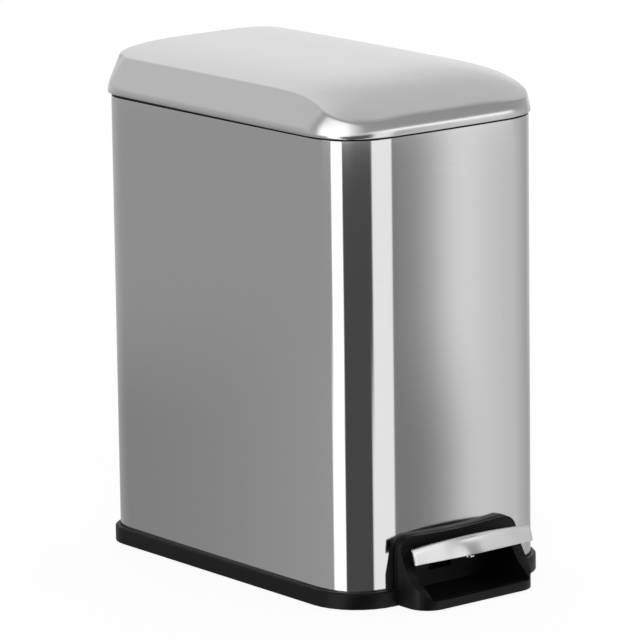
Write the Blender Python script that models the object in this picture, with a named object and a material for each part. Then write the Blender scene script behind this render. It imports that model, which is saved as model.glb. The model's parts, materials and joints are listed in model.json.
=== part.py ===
"""Slim rectangular pedal bin: brushed steel body and lid, black plastic base, inner bucket.

Metres, +Z up. The pedal faces -Y, the lid's hinge is at +Y, and the width runs along X.
Sizes below are in the bin's own frame: x and y from the middle of the body's plan, z from
the underside of the base. A root empty then puts the middle of the whole box at the origin,
with the feet on z = 0.
"""
import math

import bmesh
import bpy
from mathutils import Vector

# Fits
SEAT_GAP = 0.0003
RUN_GAP = 0.0005
OVERRUN = 0.002

# Body sheet, at its outer face
BODY_WIDTH = 0.147
BODY_LENGTH = 0.224
BODY_TOP = 0.262
FRONT_RADIUS = 0.029
REAR_RADIUS = 0.018
SHEET = 0.0006
CORNER_STEPS = 8

# Base tray and ring
RING_PROUD = 0.003
RING_HEIGHT = 0.0093
TRAY_FLOOR = 0.002
UPSTAND_WALL = 0.0018
UPSTAND_TOP = 0.009
RING_EDGE = 0.0008

# Pedal surround, moulded with the base
SCOOP_REACH = 0.026
SCOOP_WIDTH = 0.0844
SCOOP_CORNER = 0.013
SCOOP_DEPTH = 0.013
FLANGE_WIDTH = 0.085
FLANGE_TOP = 0.0388
FLANGE_DIP = 0.0012
FLANGE_DIP_STEPS = 8
FLANGE_CORNER = 0.009
FLANGE_PROUD = 0.0019
FLANGE_STEP = 0.0002
NOTCH_LAP = 0.0045
NOTCH_TOP_LAP = 0.002675
POCKET_WIDTH = 0.0705
POCKET_CORNER = 0.009
POCKET_TOP = 0.0322
POCKET_FLOOR = 0.003
POCKET_BACK_WALL = 0.002
LIP_WALL = 0.0028
LIP_HEIGHT = 0.0052
LIP_SLOPE = 0.008
# The rim of the surround seen from the side: share of the reach, share of the flange's height
RIM_SHARES = (
    (0.2, 1.0), (0.21, 0.82), (0.33, 0.62), (0.435, 0.5), (0.53, 0.405), (0.65, 0.325), (0.77, 0.27),
    (0.9, 0.19), (1.0, 0.134),
)
RIM_STEPS = 2

# Rim collar in the mouth of the body
CAP_INSET = 0.0002
CAP_HEIGHT = 0.001
COLLAR_WALL = 0.0018
COLLAR_DEPTH = 0.019
LEDGE_DROP = 0.004
LEDGE_THICKNESS = 0.002
LEDGE_WIDTH = 0.0039
DECK_DEPTH = 0.0185

# Inner bucket
BUCKET_WALL = 0.0015
BUCKET_RIM = 0.002
BUCKET_RIM_LAP = 0.0026
BUCKET_TAPER = 0.004
BUCKET_REAR_RADIUS = 0.012

# Wire bail in the bucket
BAIL_WIRE = 0.003
BAIL_DROP = 0.008
BAIL_REACH = 0.089
BAIL_CORNER = 0.012
GRIP_DIAMETER = 0.008
GRIP_LENGTH = 0.06

# Lid, heights from its lower edge at the front
LID_SHEET = 0.0008
LID_OVERHANG = 0.0018
LID_FRONT_OVERHANG = 0.001
LID_LIFT = 0.0015
LID_REAR_RISE = 0.0009
LID_BULGE = 0.004
LID_CURL = 0.0012
LID_WALL_RADIUS = 0.023
CROWN_HEIGHT = 0.0283
CROWN_BACK = 0.0226
CROWN_SIDE_DROP = 0.0074
CROWN_SIDE_POWER = 2.2
CROWN_FRONT_DROP = 0.0178
CROWN_FRONT_POWER = 5.6
LID_OPEN = 75.0
# The lid's rings: up the wall as shares of the crease's inset, then over the crown towards its top
WALL_SHARES = (0.0, 0.04, 0.16, 0.36, 0.64, 1.0)
CROWN_SHARES = (0.95, 0.88, 0.78, 0.6, 0.4, 0.2)
SIDE_CUTS = 9
END_CUTS = 5
CREASE_PASSES = 30

# Black inner lid
LINER_GAP = 0.0004
LINER_WALL = 0.0015
LINER_EDGE = 0.0025
LINER_EDGE_INSET = 0.0006
LINER_INSET = 0.0004

# Hinge
HINGE_BACK = 0.0055
HINGE_DROP = 0.0025
HINGE_PIN = 0.003
BARREL_RADIUS = 0.0038
BRACKET_WIDTH = 0.06
BRACKET_DEPTH = 0.0097
BRACKET_HEIGHT = 0.022
BRACKET_CHAMFER = 0.004
BRACKET_WRAP = 130.0
LUG_SPACING = 0.038
LUG_WIDTH = 0.006
LUG_RISE = 0.0105
LUG_REACH = 0.0065
# The lug above its barrel: share of its reach to the rear, share of its rise
LUG_SHARES = ((0.585, 0.6), (0.146, 1.0), (-1.0, 1.0), (-1.0, 0.5), (-0.64, 0.4))
BRACKET_SCREW_SPACING = 0.024
BRACKET_SCREW_DROP = 0.012
SCREW_DIAMETER = 0.003
SCREW_HEAD = 0.006
SCREW_HEAD_HEIGHT = 0.0018
SCREW_BORE = SCREW_DIAMETER / 2 + SEAT_GAP

# Lifting horn on the inner lid, and its pin
HORN_RADIUS = 0.016
HORN_EYE = 0.003
HORN_CHEEK = 0.003
HORN_RISE = 0.0155
HORN_WIDTH = 0.0106

# Lift rod
ROD_DIAMETER = 0.004
ROD_HEAD_THICKNESS = 0.0036
ROD_HEAD_WALL = 0.0018
ROD_SLOT_PLAY = 0.0007
ROD_COLLAR = 0.009
ROD_COLLAR_HEIGHT = 0.0018
ROD_TAIL = 0.0018
CHANNEL_WIDTH = 0.014
CHANNEL_WALL = 0.0015
CHANNEL_DROP = 0.024

# Pedal lever and its pivot
LEVER_WIDTH = 0.014
LEVER_THICKNESS = 0.003
LEVER_REAR_CLEAR = 0.0045
LEVER_PIVOT_BACK = 0.0573
LEVER_BARREL = 0.0044
LEVER_PIN = 0.004
LEVER_SHOULDER = 0.017
LEVER_CRANK = 0.0025
LEVER_TAIL = 0.006
EAR_WALL = 0.003
EAR_HALF_LENGTH = 0.008
CLIP_DIAMETER = 0.0085
CLIP_THICKNESS = 0.0012
PIN_TAIL = 0.0022

# Pedal: steel cover and the carrier behind it
PEDAL_WIDTH = 0.0844
PEDAL_REACH = 0.019
PEDAL_LEAN = 0.0025
PEDAL_BOTTOM = 0.0256
PEDAL_TOP = 0.036
PEDAL_CROWN = 0.0018
PEDAL_SHEET = 0.0012
PEDAL_FLANGE = 0.002
# The cover's face from its lower edge to its rounded top: share of the lean, share of the height
PEDAL_FACE_SHARES = ((0.0, 0.0), (0.22, 0.4), (0.6, 0.8), (1.0, 0.94), (1.4, 1.0))
PEDAL_STATIONS = 12
PAD_SIDE_CLEAR = 0.0015
PAD_DEPTH = 0.009
PAD_HEIGHT = 0.0038
PEDAL_SCREW_BACK = 0.0046

# Floor over the mechanism, its posts and screws
DECK_CLEAR = 0.0008
FLOOR_THICKNESS = 0.002
POST_DIAMETER = 0.009
POST_INSET_X = 0.0175
POST_FRONT_INSET = 0.045
POST_REAR_INSET = 0.03

# Rubber feet and lid bumpers
FOOT_DIAMETER = 0.012
FOOT_PROUD = 0.0008
FOOT_RECESS = 0.0008
FOOT_INSET_X = 0.018
FOOT_FRONT_INSET = 0.03
FOOT_REAR_INSET = 0.022
BUMPER_DIAMETER = 0.0018
BUMPER_SPACING = 0.07

ROUND_STEPS = 16

# Places worked out from the sizes above
HALF_WIDTH = BODY_WIDTH / 2
HALF_LENGTH = BODY_LENGTH / 2
FRONT = -HALF_LENGTH
SHEET_BOTTOM = TRAY_FLOOR + SEAT_GAP
INNER_INSET = SHEET + SEAT_GAP
NOTCH_HALF = FLANGE_WIDTH / 2 - NOTCH_LAP
NOTCH_TOP = FLANGE_TOP - NOTCH_TOP_LAP
COLLAR_TOP = BODY_TOP + SEAT_GAP + CAP_HEIGHT
RECESS_INSET = INNER_INSET + COLLAR_WALL
LEDGE_TOP = BODY_TOP - LEDGE_DROP
OPENING_INSET = RECESS_INSET + LEDGE_WIDTH
DECK_EDGE = HALF_LENGTH - INNER_INSET - DECK_DEPTH
HINGE_Y = HALF_LENGTH + HINGE_BACK
HINGE_Z = BODY_TOP - HINGE_DROP
HALF_OPEN = math.radians(LID_OPEN) / 2
ROD_TRAVEL = 2 * HORN_RADIUS * math.sin(HALF_OPEN)
HORN_PIN_Y = HINGE_Y - HORN_RADIUS * math.cos(HALF_OPEN)
HORN_PIN_Z = HINGE_Z - HORN_RADIUS * math.sin(HALF_OPEN)
PIN_SWING = HORN_RADIUS * (1 - math.cos(HALF_OPEN))
ROD_Y = HORN_PIN_Y - PIN_SWING / 2
ROD_HEAD_LENGTH = PIN_SWING + HINGE_PIN + 2 * (ROD_SLOT_PLAY + ROD_HEAD_WALL)
ROD_HEAD_HEIGHT = HINGE_PIN + 2 * (ROD_SLOT_PLAY + ROD_HEAD_WALL)
PIVOT_Y = FRONT + LEVER_PIVOT_BACK
LEVER_ARM = ROD_Y - PIVOT_Y
LEVER_ANGLE = math.asin(ROD_TRAVEL / (2 * LEVER_ARM)) * 2
LEVER_REAR_Z = TRAY_FLOOR + LEVER_REAR_CLEAR
PIVOT_Z = LEVER_REAR_Z + LEVER_ARM * math.sin(LEVER_ANGLE / 2)
LEVER_FRONT_Z = PEDAL_BOTTOM + LEVER_THICKNESS / 2
PAD_BOTTOM = PEDAL_BOTTOM + LEVER_THICKNESS + SEAT_GAP
DECK_BOTTOM = NOTCH_TOP + DECK_CLEAR
DECK_TOP = DECK_BOTTOM + FLOOR_THICKNESS
CHANNEL_TOP = BODY_TOP - CHANNEL_DROP
BUCKET_BOTTOM = DECK_TOP + SEAT_GAP + SCREW_HEAD_HEIGHT + RUN_GAP
BUCKET_RIM_BOTTOM = LEDGE_TOP + SEAT_GAP
BUCKET_TOP = BUCKET_RIM_BOTTOM + BUCKET_RIM
BUCKET_INSET = OPENING_INSET + RUN_GAP
BUCKET_REAR = DECK_EDGE - LEDGE_WIDTH - RUN_GAP
BAIL_Z = BUCKET_TOP - BAIL_DROP
BAIL_Y = BUCKET_REAR - BUCKET_WALL - RUN_GAP - GRIP_DIAMETER / 2 - BAIL_REACH
LID_EDGE = BODY_TOP + LID_LIFT
REAR_REACH = SEAT_GAP + BRACKET_DEPTH
OFFSET_Y = (SCOOP_REACH - REAR_REACH) / 2


def clear_scene():
    for item in list(bpy.data.objects):
        bpy.data.objects.remove(item, do_unlink=True)


def material(name, color, roughness, metallic):
    """A Principled material, made once for each name."""
    found = bpy.data.materials.get(name)
    if found:
        return found
    made = bpy.data.materials.new(name)
    made.use_nodes = True
    shader = made.node_tree.nodes["Principled BSDF"]
    shader.inputs["Base Color"].default_value = (*color, 1)
    shader.inputs["Roughness"].default_value = roughness
    shader.inputs["Metallic"].default_value = metallic
    made.diffuse_color = (*color, 1)
    return made


def steel():
    return material("brushed_steel", (0.62, 0.62, 0.62), 0.32, 1.0)


def black_plastic():
    return material("black_plastic", (0.016, 0.016, 0.016), 0.45, 0.0)


def bucket_plastic():
    return material("bucket_plastic", (0.03, 0.03, 0.03), 0.5, 0.0)


def bright_steel():
    return material("bright_steel", (0.7, 0.7, 0.7), 0.22, 1.0)


def rubber():
    return material("rubber", (0.02, 0.02, 0.02), 0.8, 0.0)


def empty(name, place, parent=None):
    """A joint's frame: its place is given in the bin's own frame."""
    made = bpy.data.objects.new(name, None)
    bpy.context.collection.objects.link(made)
    made.parent = parent
    made.location = place
    return made


def add_mesh(name, bm, finish=None):
    bmesh.ops.recalc_face_normals(bm, faces=bm.faces)
    mesh = bpy.data.meshes.new(name)
    bm.to_mesh(mesh)
    bm.free()
    made = bpy.data.objects.new(name, mesh)
    bpy.context.collection.objects.link(made)
    if finish:
        mesh.materials.append(finish)
    return made


def attach(item, holder, axis_place=(0, 0, 0)):
    """Hangs a piece on the empty at a joint's axis, keeping where it was modelled."""
    item.parent = holder
    item.location = -Vector(axis_place)
    return item


def shade(item, angle=math.radians(35)):
    item.data.shade_smooth()
    item.data.set_sharp_from_angle(angle=angle)
    return item


def settle(item):
    """Replaces an object's mesh by what its modifiers give."""
    graph = bpy.context.evaluated_depsgraph_get()
    mesh = bpy.data.meshes.new_from_object(item.evaluated_get(graph))
    old = item.data
    item.modifiers.clear()
    item.data = mesh
    mesh.name = old.name
    bpy.data.meshes.remove(old)
    return item


def combine(item, others, operation):
    """Applies an exact Boolean with each of the others and removes them."""
    for other in others:
        step = item.modifiers.new(operation.lower(), "BOOLEAN")
        step.operation = operation
        step.solver = "EXACT"
        step.object = other
        other.hide_render = True
        other.display_type = "WIRE"
        settle(item)
        bpy.data.objects.remove(other, do_unlink=True)
    return item


def join(item, *others):
    return combine(item, others, "UNION")


def cut(item, *others):
    return combine(item, others, "DIFFERENCE")


def keep_common(item, *others):
    return combine(item, others, "INTERSECT")


def arc(center, radius, start, end, steps):
    """Points of an arc in degrees, both ends included."""
    points = []
    for step in range(steps + 1):
        turn = math.radians(start + (end - start) * step / steps)
        points.append((center[0] + radius * math.cos(turn), center[1] + radius * math.sin(turn)))
    return points


def rounded_plan(half, front, rear, front_radius, rear_radius, side_cuts=0, end_cuts=0):
    """A rectangle with round corners, seen from above, counter-clockwise from the front right."""
    corners = (
        arc((half - front_radius, front + front_radius), front_radius, -90, 0, CORNER_STEPS),
        arc((half - rear_radius, rear - rear_radius), rear_radius, 0, 90, CORNER_STEPS),
        arc((rear_radius - half, rear - rear_radius), rear_radius, 90, 180, CORNER_STEPS),
        arc((front_radius - half, front + front_radius), front_radius, 180, 270, CORNER_STEPS),
    )
    points = []
    for index, corner in enumerate(corners):
        points += corner
        cuts = side_cuts if index in (0, 2) else end_cuts
        last, following = corner[-1], corners[(index + 1) % 4][0]
        for step in range(1, cuts + 1):
            share = step / (cuts + 1)
            points.append((
                last[0] + (following[0] - last[0]) * share,
                last[1] + (following[1] - last[1]) * share,
            ))
    return points


def body_plan(inset, side_cuts=0, end_cuts=0):
    """The body's plan, moved in by an inset or out by a negative one."""
    return rounded_plan(
        HALF_WIDTH - inset, FRONT + inset, HALF_LENGTH - inset,
        FRONT_RADIUS - inset, REAR_RADIUS - inset, side_cuts, end_cuts,
    )


def box_plan(half, front, rear):
    return [(half, front), (half, rear), (-half, rear), (-half, front)]


def loft(name, rings, finish=None, ring_closed=False):
    """A closed skin over rings of equal count; the ends are capped, or the last joins the first."""
    bm = bmesh.new()
    loops = [[bm.verts.new(point) for point in ring] for ring in rings]
    count = len(rings[0])
    pairs = list(zip(loops, loops[1:]))
    if ring_closed:
        pairs.append((loops[-1], loops[0]))
    else:
        bm.faces.new(loops[0])
        bm.faces.new(loops[-1])
    for lower, upper in pairs:
        for index in range(count):
            after = (index + 1) % count
            bm.faces.new((lower[index], lower[after], upper[after], upper[index]))
    return add_mesh(name, bm, finish)


def prism(name, plan, bottom, top, finish=None):
    return loft(name, [[(x, y, z) for x, y in plan] for z in (bottom, top)], finish)


def prism_x(name, outline, left, right, finish=None):
    """An outline in y and z, drawn out along x."""
    return loft(name, [[(x, y, z) for y, z in outline] for x in (left, right)], finish)


def disc(name, center, radius, bottom, top, finish=None, steps=ROUND_STEPS):
    plan = arc(center, radius, 0, 360 * (steps - 1) / steps, steps - 1)
    return prism(name, plan, bottom, top, finish)


def bar_x(name, center, radius, left, right, finish=None, steps=ROUND_STEPS):
    """A round bar along x; the center is in y and z."""
    outline = arc(center, radius, 0, 360 * (steps - 1) / steps, steps - 1)
    return prism_x(name, outline, left, right, finish)


def bar_y(name, x, z, radius, front, rear, finish=None, steps=ROUND_STEPS):
    circle = arc((x, z), radius, 0, 360 * (steps - 1) / steps, steps - 1)
    return loft(name, [[(px, y, pz) for px, pz in circle] for y in (front, rear)], finish)


def smooth_path(points, steps):
    """A Catmull-Rom curve through points in a plane."""
    path = []
    last = len(points) - 1
    for index in range(last):
        before = points[max(index - 1, 0)]
        start, end = points[index], points[index + 1]
        after = points[min(index + 2, last)]
        for step in range(steps):
            t = step / steps
            path.append(tuple(
                0.5 * (2 * b + (c - a) * t + (2 * a - 5 * b + 4 * c - d) * t ** 2
                       + (3 * b - a - 3 * c + d) * t ** 3)
                for a, b, c, d in zip(before, start, end, after)
            ))
    path.append(points[-1])
    return path


def thick_path(points, thickness, side=0.5):
    """The outline of a strip along a path; side is the share of the thickness on its left."""
    left, right = [], []
    last = len(points) - 1
    for index, point in enumerate(points):
        before = Vector(point) - Vector(points[index - 1]) if index else None
        after = Vector(points[index + 1]) - Vector(point) if index < last else None
        normals = [Vector((-v.y, v.x)).normalized() for v in (before, after) if v]
        middle = sum(normals, Vector((0, 0))).normalized()
        reach = thickness / max(middle.dot(normals[0]), 0.5)
        left.append(tuple(Vector(point) + middle * reach * side))
        right.append(tuple(Vector(point) - middle * reach * (1 - side)))
    return left + right[::-1]


def tube_rings(profile, plan):
    """Rings for a hoop: each profile entry is an inset and a height."""
    return [[(x, y, z) for x, y in plan(inset)] for inset, z in profile]


# Body

def make_outer_shell(root):
    """The steel sheet body: a plain rounded tube, hemmed at the top, notched for the pedal."""
    profile = (
        (0, SHEET_BOTTOM), (0, BODY_TOP - SHEET), (SHEET / 4, BODY_TOP),
        (SHEET, BODY_TOP), (SHEET, SHEET_BOTTOM),
    )
    shell = loft("outer_shell", tube_rings(profile, body_plan), steel(), ring_closed=True)
    notch = prism(
        "notch", box_plan(NOTCH_HALF, FRONT - OVERRUN, FRONT + SHEET + OVERRUN),
        SHEET_BOTTOM - OVERRUN, NOTCH_TOP,
    )
    holes = [
        bar_y("hole", x, HINGE_Z - BRACKET_SCREW_DROP, SCREW_BORE,
              HALF_LENGTH - SHEET - OVERRUN, HALF_LENGTH + OVERRUN)
        for x in (-BRACKET_SCREW_SPACING / 2, BRACKET_SCREW_SPACING / 2)
    ]
    cut(shell, notch, *holes)
    return attach(shade(shell), root)


def make_rim_collar(root):
    """The black collar in the mouth: cap on the sheet's edge, ledge for the bucket, rear deck."""
    bottom = BODY_TOP - COLLAR_DEPTH
    collar = prism("rim_collar", body_plan(INNER_INSET), bottom, COLLAR_TOP, black_plastic())
    cap = prism("cap", body_plan(CAP_INSET), BODY_TOP + SEAT_GAP, COLLAR_TOP)
    join(collar, cap)
    ledge_bottom = LEDGE_TOP - LEDGE_THICKNESS
    under = prism("under", body_plan(RECESS_INSET), bottom - OVERRUN, ledge_bottom)
    front = FRONT + RECESS_INSET
    corner = FRONT_RADIUS - RECESS_INSET
    recess = prism(
        "recess",
        rounded_plan(HALF_WIDTH - RECESS_INSET, front, DECK_EDGE, corner, BUCKET_REAR_RADIUS + LEDGE_WIDTH),
        LEDGE_TOP, COLLAR_TOP + OVERRUN,
    )
    opening = prism(
        "opening",
        rounded_plan(
            HALF_WIDTH - OPENING_INSET, FRONT + OPENING_INSET, DECK_EDGE - LEDGE_WIDTH,
            FRONT_RADIUS - OPENING_INSET, BUCKET_REAR_RADIUS,
        ),
        ledge_bottom - OVERRUN, COLLAR_TOP + OVERRUN,
    )
    deck_top = LEDGE_TOP + LEDGE_THICKNESS
    over_deck = prism("over_deck", body_plan(RECESS_INSET), deck_top, COLLAR_TOP + OVERRUN)
    slot = prism(
        "slot",
        box_plan(
            HORN_WIDTH / 2 + RUN_GAP, HINGE_Y - HORN_RADIUS - HORN_EYE * 2,
            ROD_Y + ROD_HEAD_LENGTH / 2 + RUN_GAP * 2,
        ),
        bottom - OVERRUN, deck_top + OVERRUN,
    )
    cut(collar, under, recess, opening, over_deck, slot)
    for x in (-BRACKET_SCREW_SPACING / 2, BRACKET_SCREW_SPACING / 2):
        hole = bar_y("hole", x, HINGE_Z - BRACKET_SCREW_DROP, SCREW_BORE,
                     HALF_LENGTH - RECESS_INSET - OVERRUN, HALF_LENGTH + OVERRUN)
        cut(collar, hole)
    return attach(shade(collar), root)


def scoop_profile():
    """The surround seen from the side, in y and z, from its foot at the back to its lip."""
    points = [(FRONT - reach * SCOOP_REACH, height * FLANGE_TOP) for reach, height in RIM_SHARES]
    rim = smooth_path(points, RIM_STEPS)
    back = FRONT + SCOOP_DEPTH
    return [(back, 0), (back, FLANGE_TOP)] + rim + [(FRONT - SCOOP_REACH, 0)]


def flange_outline(inset):
    """The flange's outline in x and z, down to the underside of the base; its top dips in the middle."""
    half = FLANGE_WIDTH / 2 - inset
    corner = FLANGE_CORNER - inset
    center = (half - corner, FLANGE_TOP - FLANGE_CORNER)
    right = arc(center, corner, 0, 90, CORNER_STEPS)
    left = arc((-center[0], center[1]), corner, 90, 180, CORNER_STEPS)
    top = []
    for step in range(1, FLANGE_DIP_STEPS):
        turn = math.pi * step / FLANGE_DIP_STEPS
        top.append((center[0] * math.cos(turn), center[1] + corner - FLANGE_DIP * math.sin(turn) ** 2))
    return right + top + left + [(-half, inset), (half, inset)]


def post_places():
    """The four posts that carry the floor over the mechanism."""
    x = HALF_WIDTH - POST_INSET_X
    rows = (FRONT + POST_FRONT_INSET, HALF_LENGTH - POST_REAR_INSET)
    return [(side * x, y) for side in (-1, 1) for y in rows]


def foot_places():
    x = HALF_WIDTH - FOOT_INSET_X
    rows = (FRONT + FOOT_FRONT_INSET, HALF_LENGTH - FOOT_REAR_INSET)
    return [(side * x, y) for side in (-1, 1) for y in rows]


def make_tray():
    """The tray: an outer ring round the body's foot, a groove for the sheet and an upstand inside."""
    ring = (
        (-RING_PROUD, 0), (-RING_PROUD, RING_HEIGHT - RING_EDGE), (RING_EDGE - RING_PROUD, RING_HEIGHT),
    )
    base = loft("base_moulding", tube_rings(ring, body_plan), black_plastic())
    cut(base, prism("seat", body_plan(-SEAT_GAP), TRAY_FLOOR, RING_HEIGHT + OVERRUN))
    foot = TRAY_FLOOR - SEAT_GAP
    wall = INNER_INSET + UPSTAND_WALL
    upstand = ((INNER_INSET, foot), (INNER_INSET, UPSTAND_TOP), (wall, UPSTAND_TOP), (wall, foot))
    return join(base, loft("upstand", tube_rings(upstand, body_plan), ring_closed=True))


def make_scoop():
    """The surround's block, seen from the side like a boot, cut to its plan and to the notch."""
    scoop = prism_x("scoop", scoop_profile(), -SCOOP_WIDTH, SCOOP_WIDTH)
    back = FRONT + SCOOP_DEPTH + OVERRUN
    plan = rounded_plan(SCOOP_WIDTH / 2, FRONT - SCOOP_REACH, back, SCOOP_CORNER, OVERRUN)
    keep_common(scoop, prism("plan", plan, -OVERRUN, FLANGE_TOP + OVERRUN))
    behind = FRONT - SEAT_GAP
    neck = NOTCH_HALF - SEAT_GAP
    over = FLANGE_TOP + OVERRUN
    for left, right, bottom in (
        (-SCOOP_WIDTH, -neck, -OVERRUN),
        (neck, SCOOP_WIDTH, -OVERRUN),
        (-SCOOP_WIDTH, SCOOP_WIDTH, NOTCH_TOP - SEAT_GAP),
    ):
        trim = [(behind, bottom), (behind, over), (back, over), (back, bottom)]
        cut(scoop, prism_x("trim", trim, left, right))
    clip = loft("clip", [
        [(x, y, z) for x, z in flange_outline(FLANGE_STEP)] for y in (FRONT - SCOOP_REACH - OVERRUN, back)
    ])
    return keep_common(scoop, clip)


def make_pocket():
    """The pocket's hollow: open at the front over a sloped lip, round in its front corners."""
    back = FRONT + SCOOP_DEPTH - POCKET_BACK_WALL
    lip_inner = FRONT - SCOOP_REACH + LIP_WALL
    ahead = FRONT - SCOOP_REACH - OVERRUN
    outline = [
        (back, POCKET_TOP), (back, POCKET_FLOOR), (lip_inner + LIP_SLOPE, POCKET_FLOOR),
        (lip_inner, LIP_HEIGHT), (ahead, LIP_HEIGHT), (ahead, POCKET_TOP),
    ]
    pocket = prism_x("pocket", outline, -POCKET_WIDTH / 2, POCKET_WIDTH / 2)
    plan = rounded_plan(POCKET_WIDTH / 2, lip_inner, back + POCKET_CORNER, POCKET_CORNER, POCKET_CORNER / 2)
    low = prism("low", plan, -OVERRUN, LIP_HEIGHT)
    high = prism("high", box_plan(POCKET_WIDTH, ahead - OVERRUN, back + OVERRUN), LIP_HEIGHT, FLANGE_TOP)
    return keep_common(pocket, join(low, high))


def make_base(root):
    """Tray, ring and pedal surround in one black moulding, with its ears and posts."""
    base = make_tray()
    flange = loft("flange", [
        [(x, y, z) for x, z in flange_outline(0)] for y in (FRONT - SEAT_GAP, FRONT - FLANGE_PROUD)
    ])
    join(base, flange, make_scoop())
    slot_half = LEVER_WIDTH / 2 + RUN_GAP * 2
    slot_back = FRONT + SCOOP_DEPTH + OVERRUN
    slot = prism(
        "slot", box_plan(slot_half, slot_back - POCKET_BACK_WALL - OVERRUN * 2, slot_back),
        LEVER_SHOULDER / 2 + LEVER_THICKNESS, POCKET_TOP - RUN_GAP * 4,
    )
    cut(base, make_pocket(), slot)

    # Ears for the lever's pin
    foot = TRAY_FLOOR - SEAT_GAP
    ear_inner = LEVER_WIDTH / 2 + RUN_GAP
    ear = arc((PIVOT_Y, PIVOT_Z), LEVER_PIN / 2 + EAR_WALL, 0, 180, CORNER_STEPS)
    ear += [(PIVOT_Y - EAR_HALF_LENGTH, foot), (PIVOT_Y + EAR_HALF_LENGTH, foot)]
    for left in (-ear_inner - EAR_WALL, ear_inner):
        join(base, prism_x("ear", ear, left, left + EAR_WALL))
    reach = ear_inner + EAR_WALL + OVERRUN
    cut(base, bar_x("bore", (PIVOT_Y, PIVOT_Z), LEVER_PIN / 2 + SEAT_GAP, -reach, reach))

    # Posts for the floor, and recesses for the feet
    for place in post_places():
        join(base, disc("post", place, POST_DIAMETER / 2, foot, DECK_BOTTOM - SEAT_GAP))
        cut(base, disc("bore", place, SCREW_BORE, DECK_BOTTOM / 2, DECK_BOTTOM + OVERRUN))
    for place in foot_places():
        cut(base, disc("recess", place, FOOT_DIAMETER / 2 + SEAT_GAP, -OVERRUN, FOOT_RECESS))
    return attach(shade(base), root)


def make_feet(root):
    for number, place in enumerate(foot_places(), 1):
        name = f"rubber_foot_{number}"
        foot = disc(name, place, FOOT_DIAMETER / 2, -FOOT_PROUD, FOOT_RECESS - SEAT_GAP, rubber())
        attach(shade(foot), root)


def make_mechanism_floor(root):
    """The black plate over the lever, screwed to the base's posts."""
    floor = prism("mechanism_floor", body_plan(INNER_INSET), DECK_BOTTOM, DECK_TOP, black_plastic())
    bottom, top = DECK_BOTTOM - OVERRUN, DECK_TOP + OVERRUN
    cut(floor, disc("rod_hole", (0, ROD_Y), ROD_COLLAR / 2 + RUN_GAP, bottom, top))
    for place in post_places():
        cut(floor, disc("bore", place, SCREW_BORE, bottom, top))
    attach(shade(floor), root)
    head = DECK_TOP + SEAT_GAP
    tip = DECK_BOTTOM / 2 + RUN_GAP
    for number, place in enumerate(post_places(), 1):
        name = f"floor_screw_{number}"
        screw = disc(name, place, SCREW_HEAD / 2, head, head + SCREW_HEAD_HEIGHT, bright_steel())
        shank = disc("shank", place, SCREW_DIAMETER / 2, tip, head + SCREW_HEAD_HEIGHT / 2)
        attach(shade(join(screw, shank)), root)


def make_rod_channel(root):
    """The plastic channel on the rear wall that keeps the bucket off the lift rod."""
    rear = HALF_LENGTH - INNER_INSET
    front = ROD_Y - ROD_DIAMETER / 2 - RUN_GAP * 2 - CHANNEL_WALL
    outer = CHANNEL_WIDTH / 2
    inner = outer - CHANNEL_WALL
    channel = prism(
        "rod_channel", box_plan(outer, front, rear), DECK_TOP + SEAT_GAP, CHANNEL_TOP, black_plastic(),
    )
    hollow = prism(
        "hollow", box_plan(inner, front + CHANNEL_WALL, rear + OVERRUN),
        DECK_TOP - OVERRUN, CHANNEL_TOP + OVERRUN,
    )
    return attach(cut(channel, hollow), root)


# Bucket and bail

def bucket_plan(inset):
    return rounded_plan(
        HALF_WIDTH - BUCKET_INSET - inset, FRONT + BUCKET_INSET + inset, BUCKET_REAR - inset,
        FRONT_RADIUS - BUCKET_INSET - inset, BUCKET_REAR_RADIUS - RUN_GAP - inset,
    )


def make_bucket(holder, place):
    """The tapered black bucket with a flat rim that hangs on the collar's ledge."""
    inside = BUCKET_WALL
    profile = (
        (BUCKET_TAPER + BUCKET_WALL, BUCKET_BOTTOM), (BUCKET_TAPER, BUCKET_BOTTOM + BUCKET_WALL),
        (0, BUCKET_RIM_BOTTOM), (-BUCKET_RIM_LAP, BUCKET_RIM_BOTTOM), (-BUCKET_RIM_LAP, BUCKET_TOP),
        (inside, BUCKET_TOP), (inside, BUCKET_RIM_BOTTOM),
        (BUCKET_TAPER + inside, BUCKET_BOTTOM + 2 * BUCKET_WALL),
        (BUCKET_TAPER + 2 * inside, BUCKET_BOTTOM + BUCKET_WALL),
    )
    bucket = loft("inner_bucket", tube_rings(profile, bucket_plan), bucket_plastic())
    reach = HALF_WIDTH
    cut(bucket, bar_x("eyes", (BAIL_Y, BAIL_Z), BAIL_WIRE / 2 + SEAT_GAP, -reach, reach))
    return attach(shade(bucket), holder, place)


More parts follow.
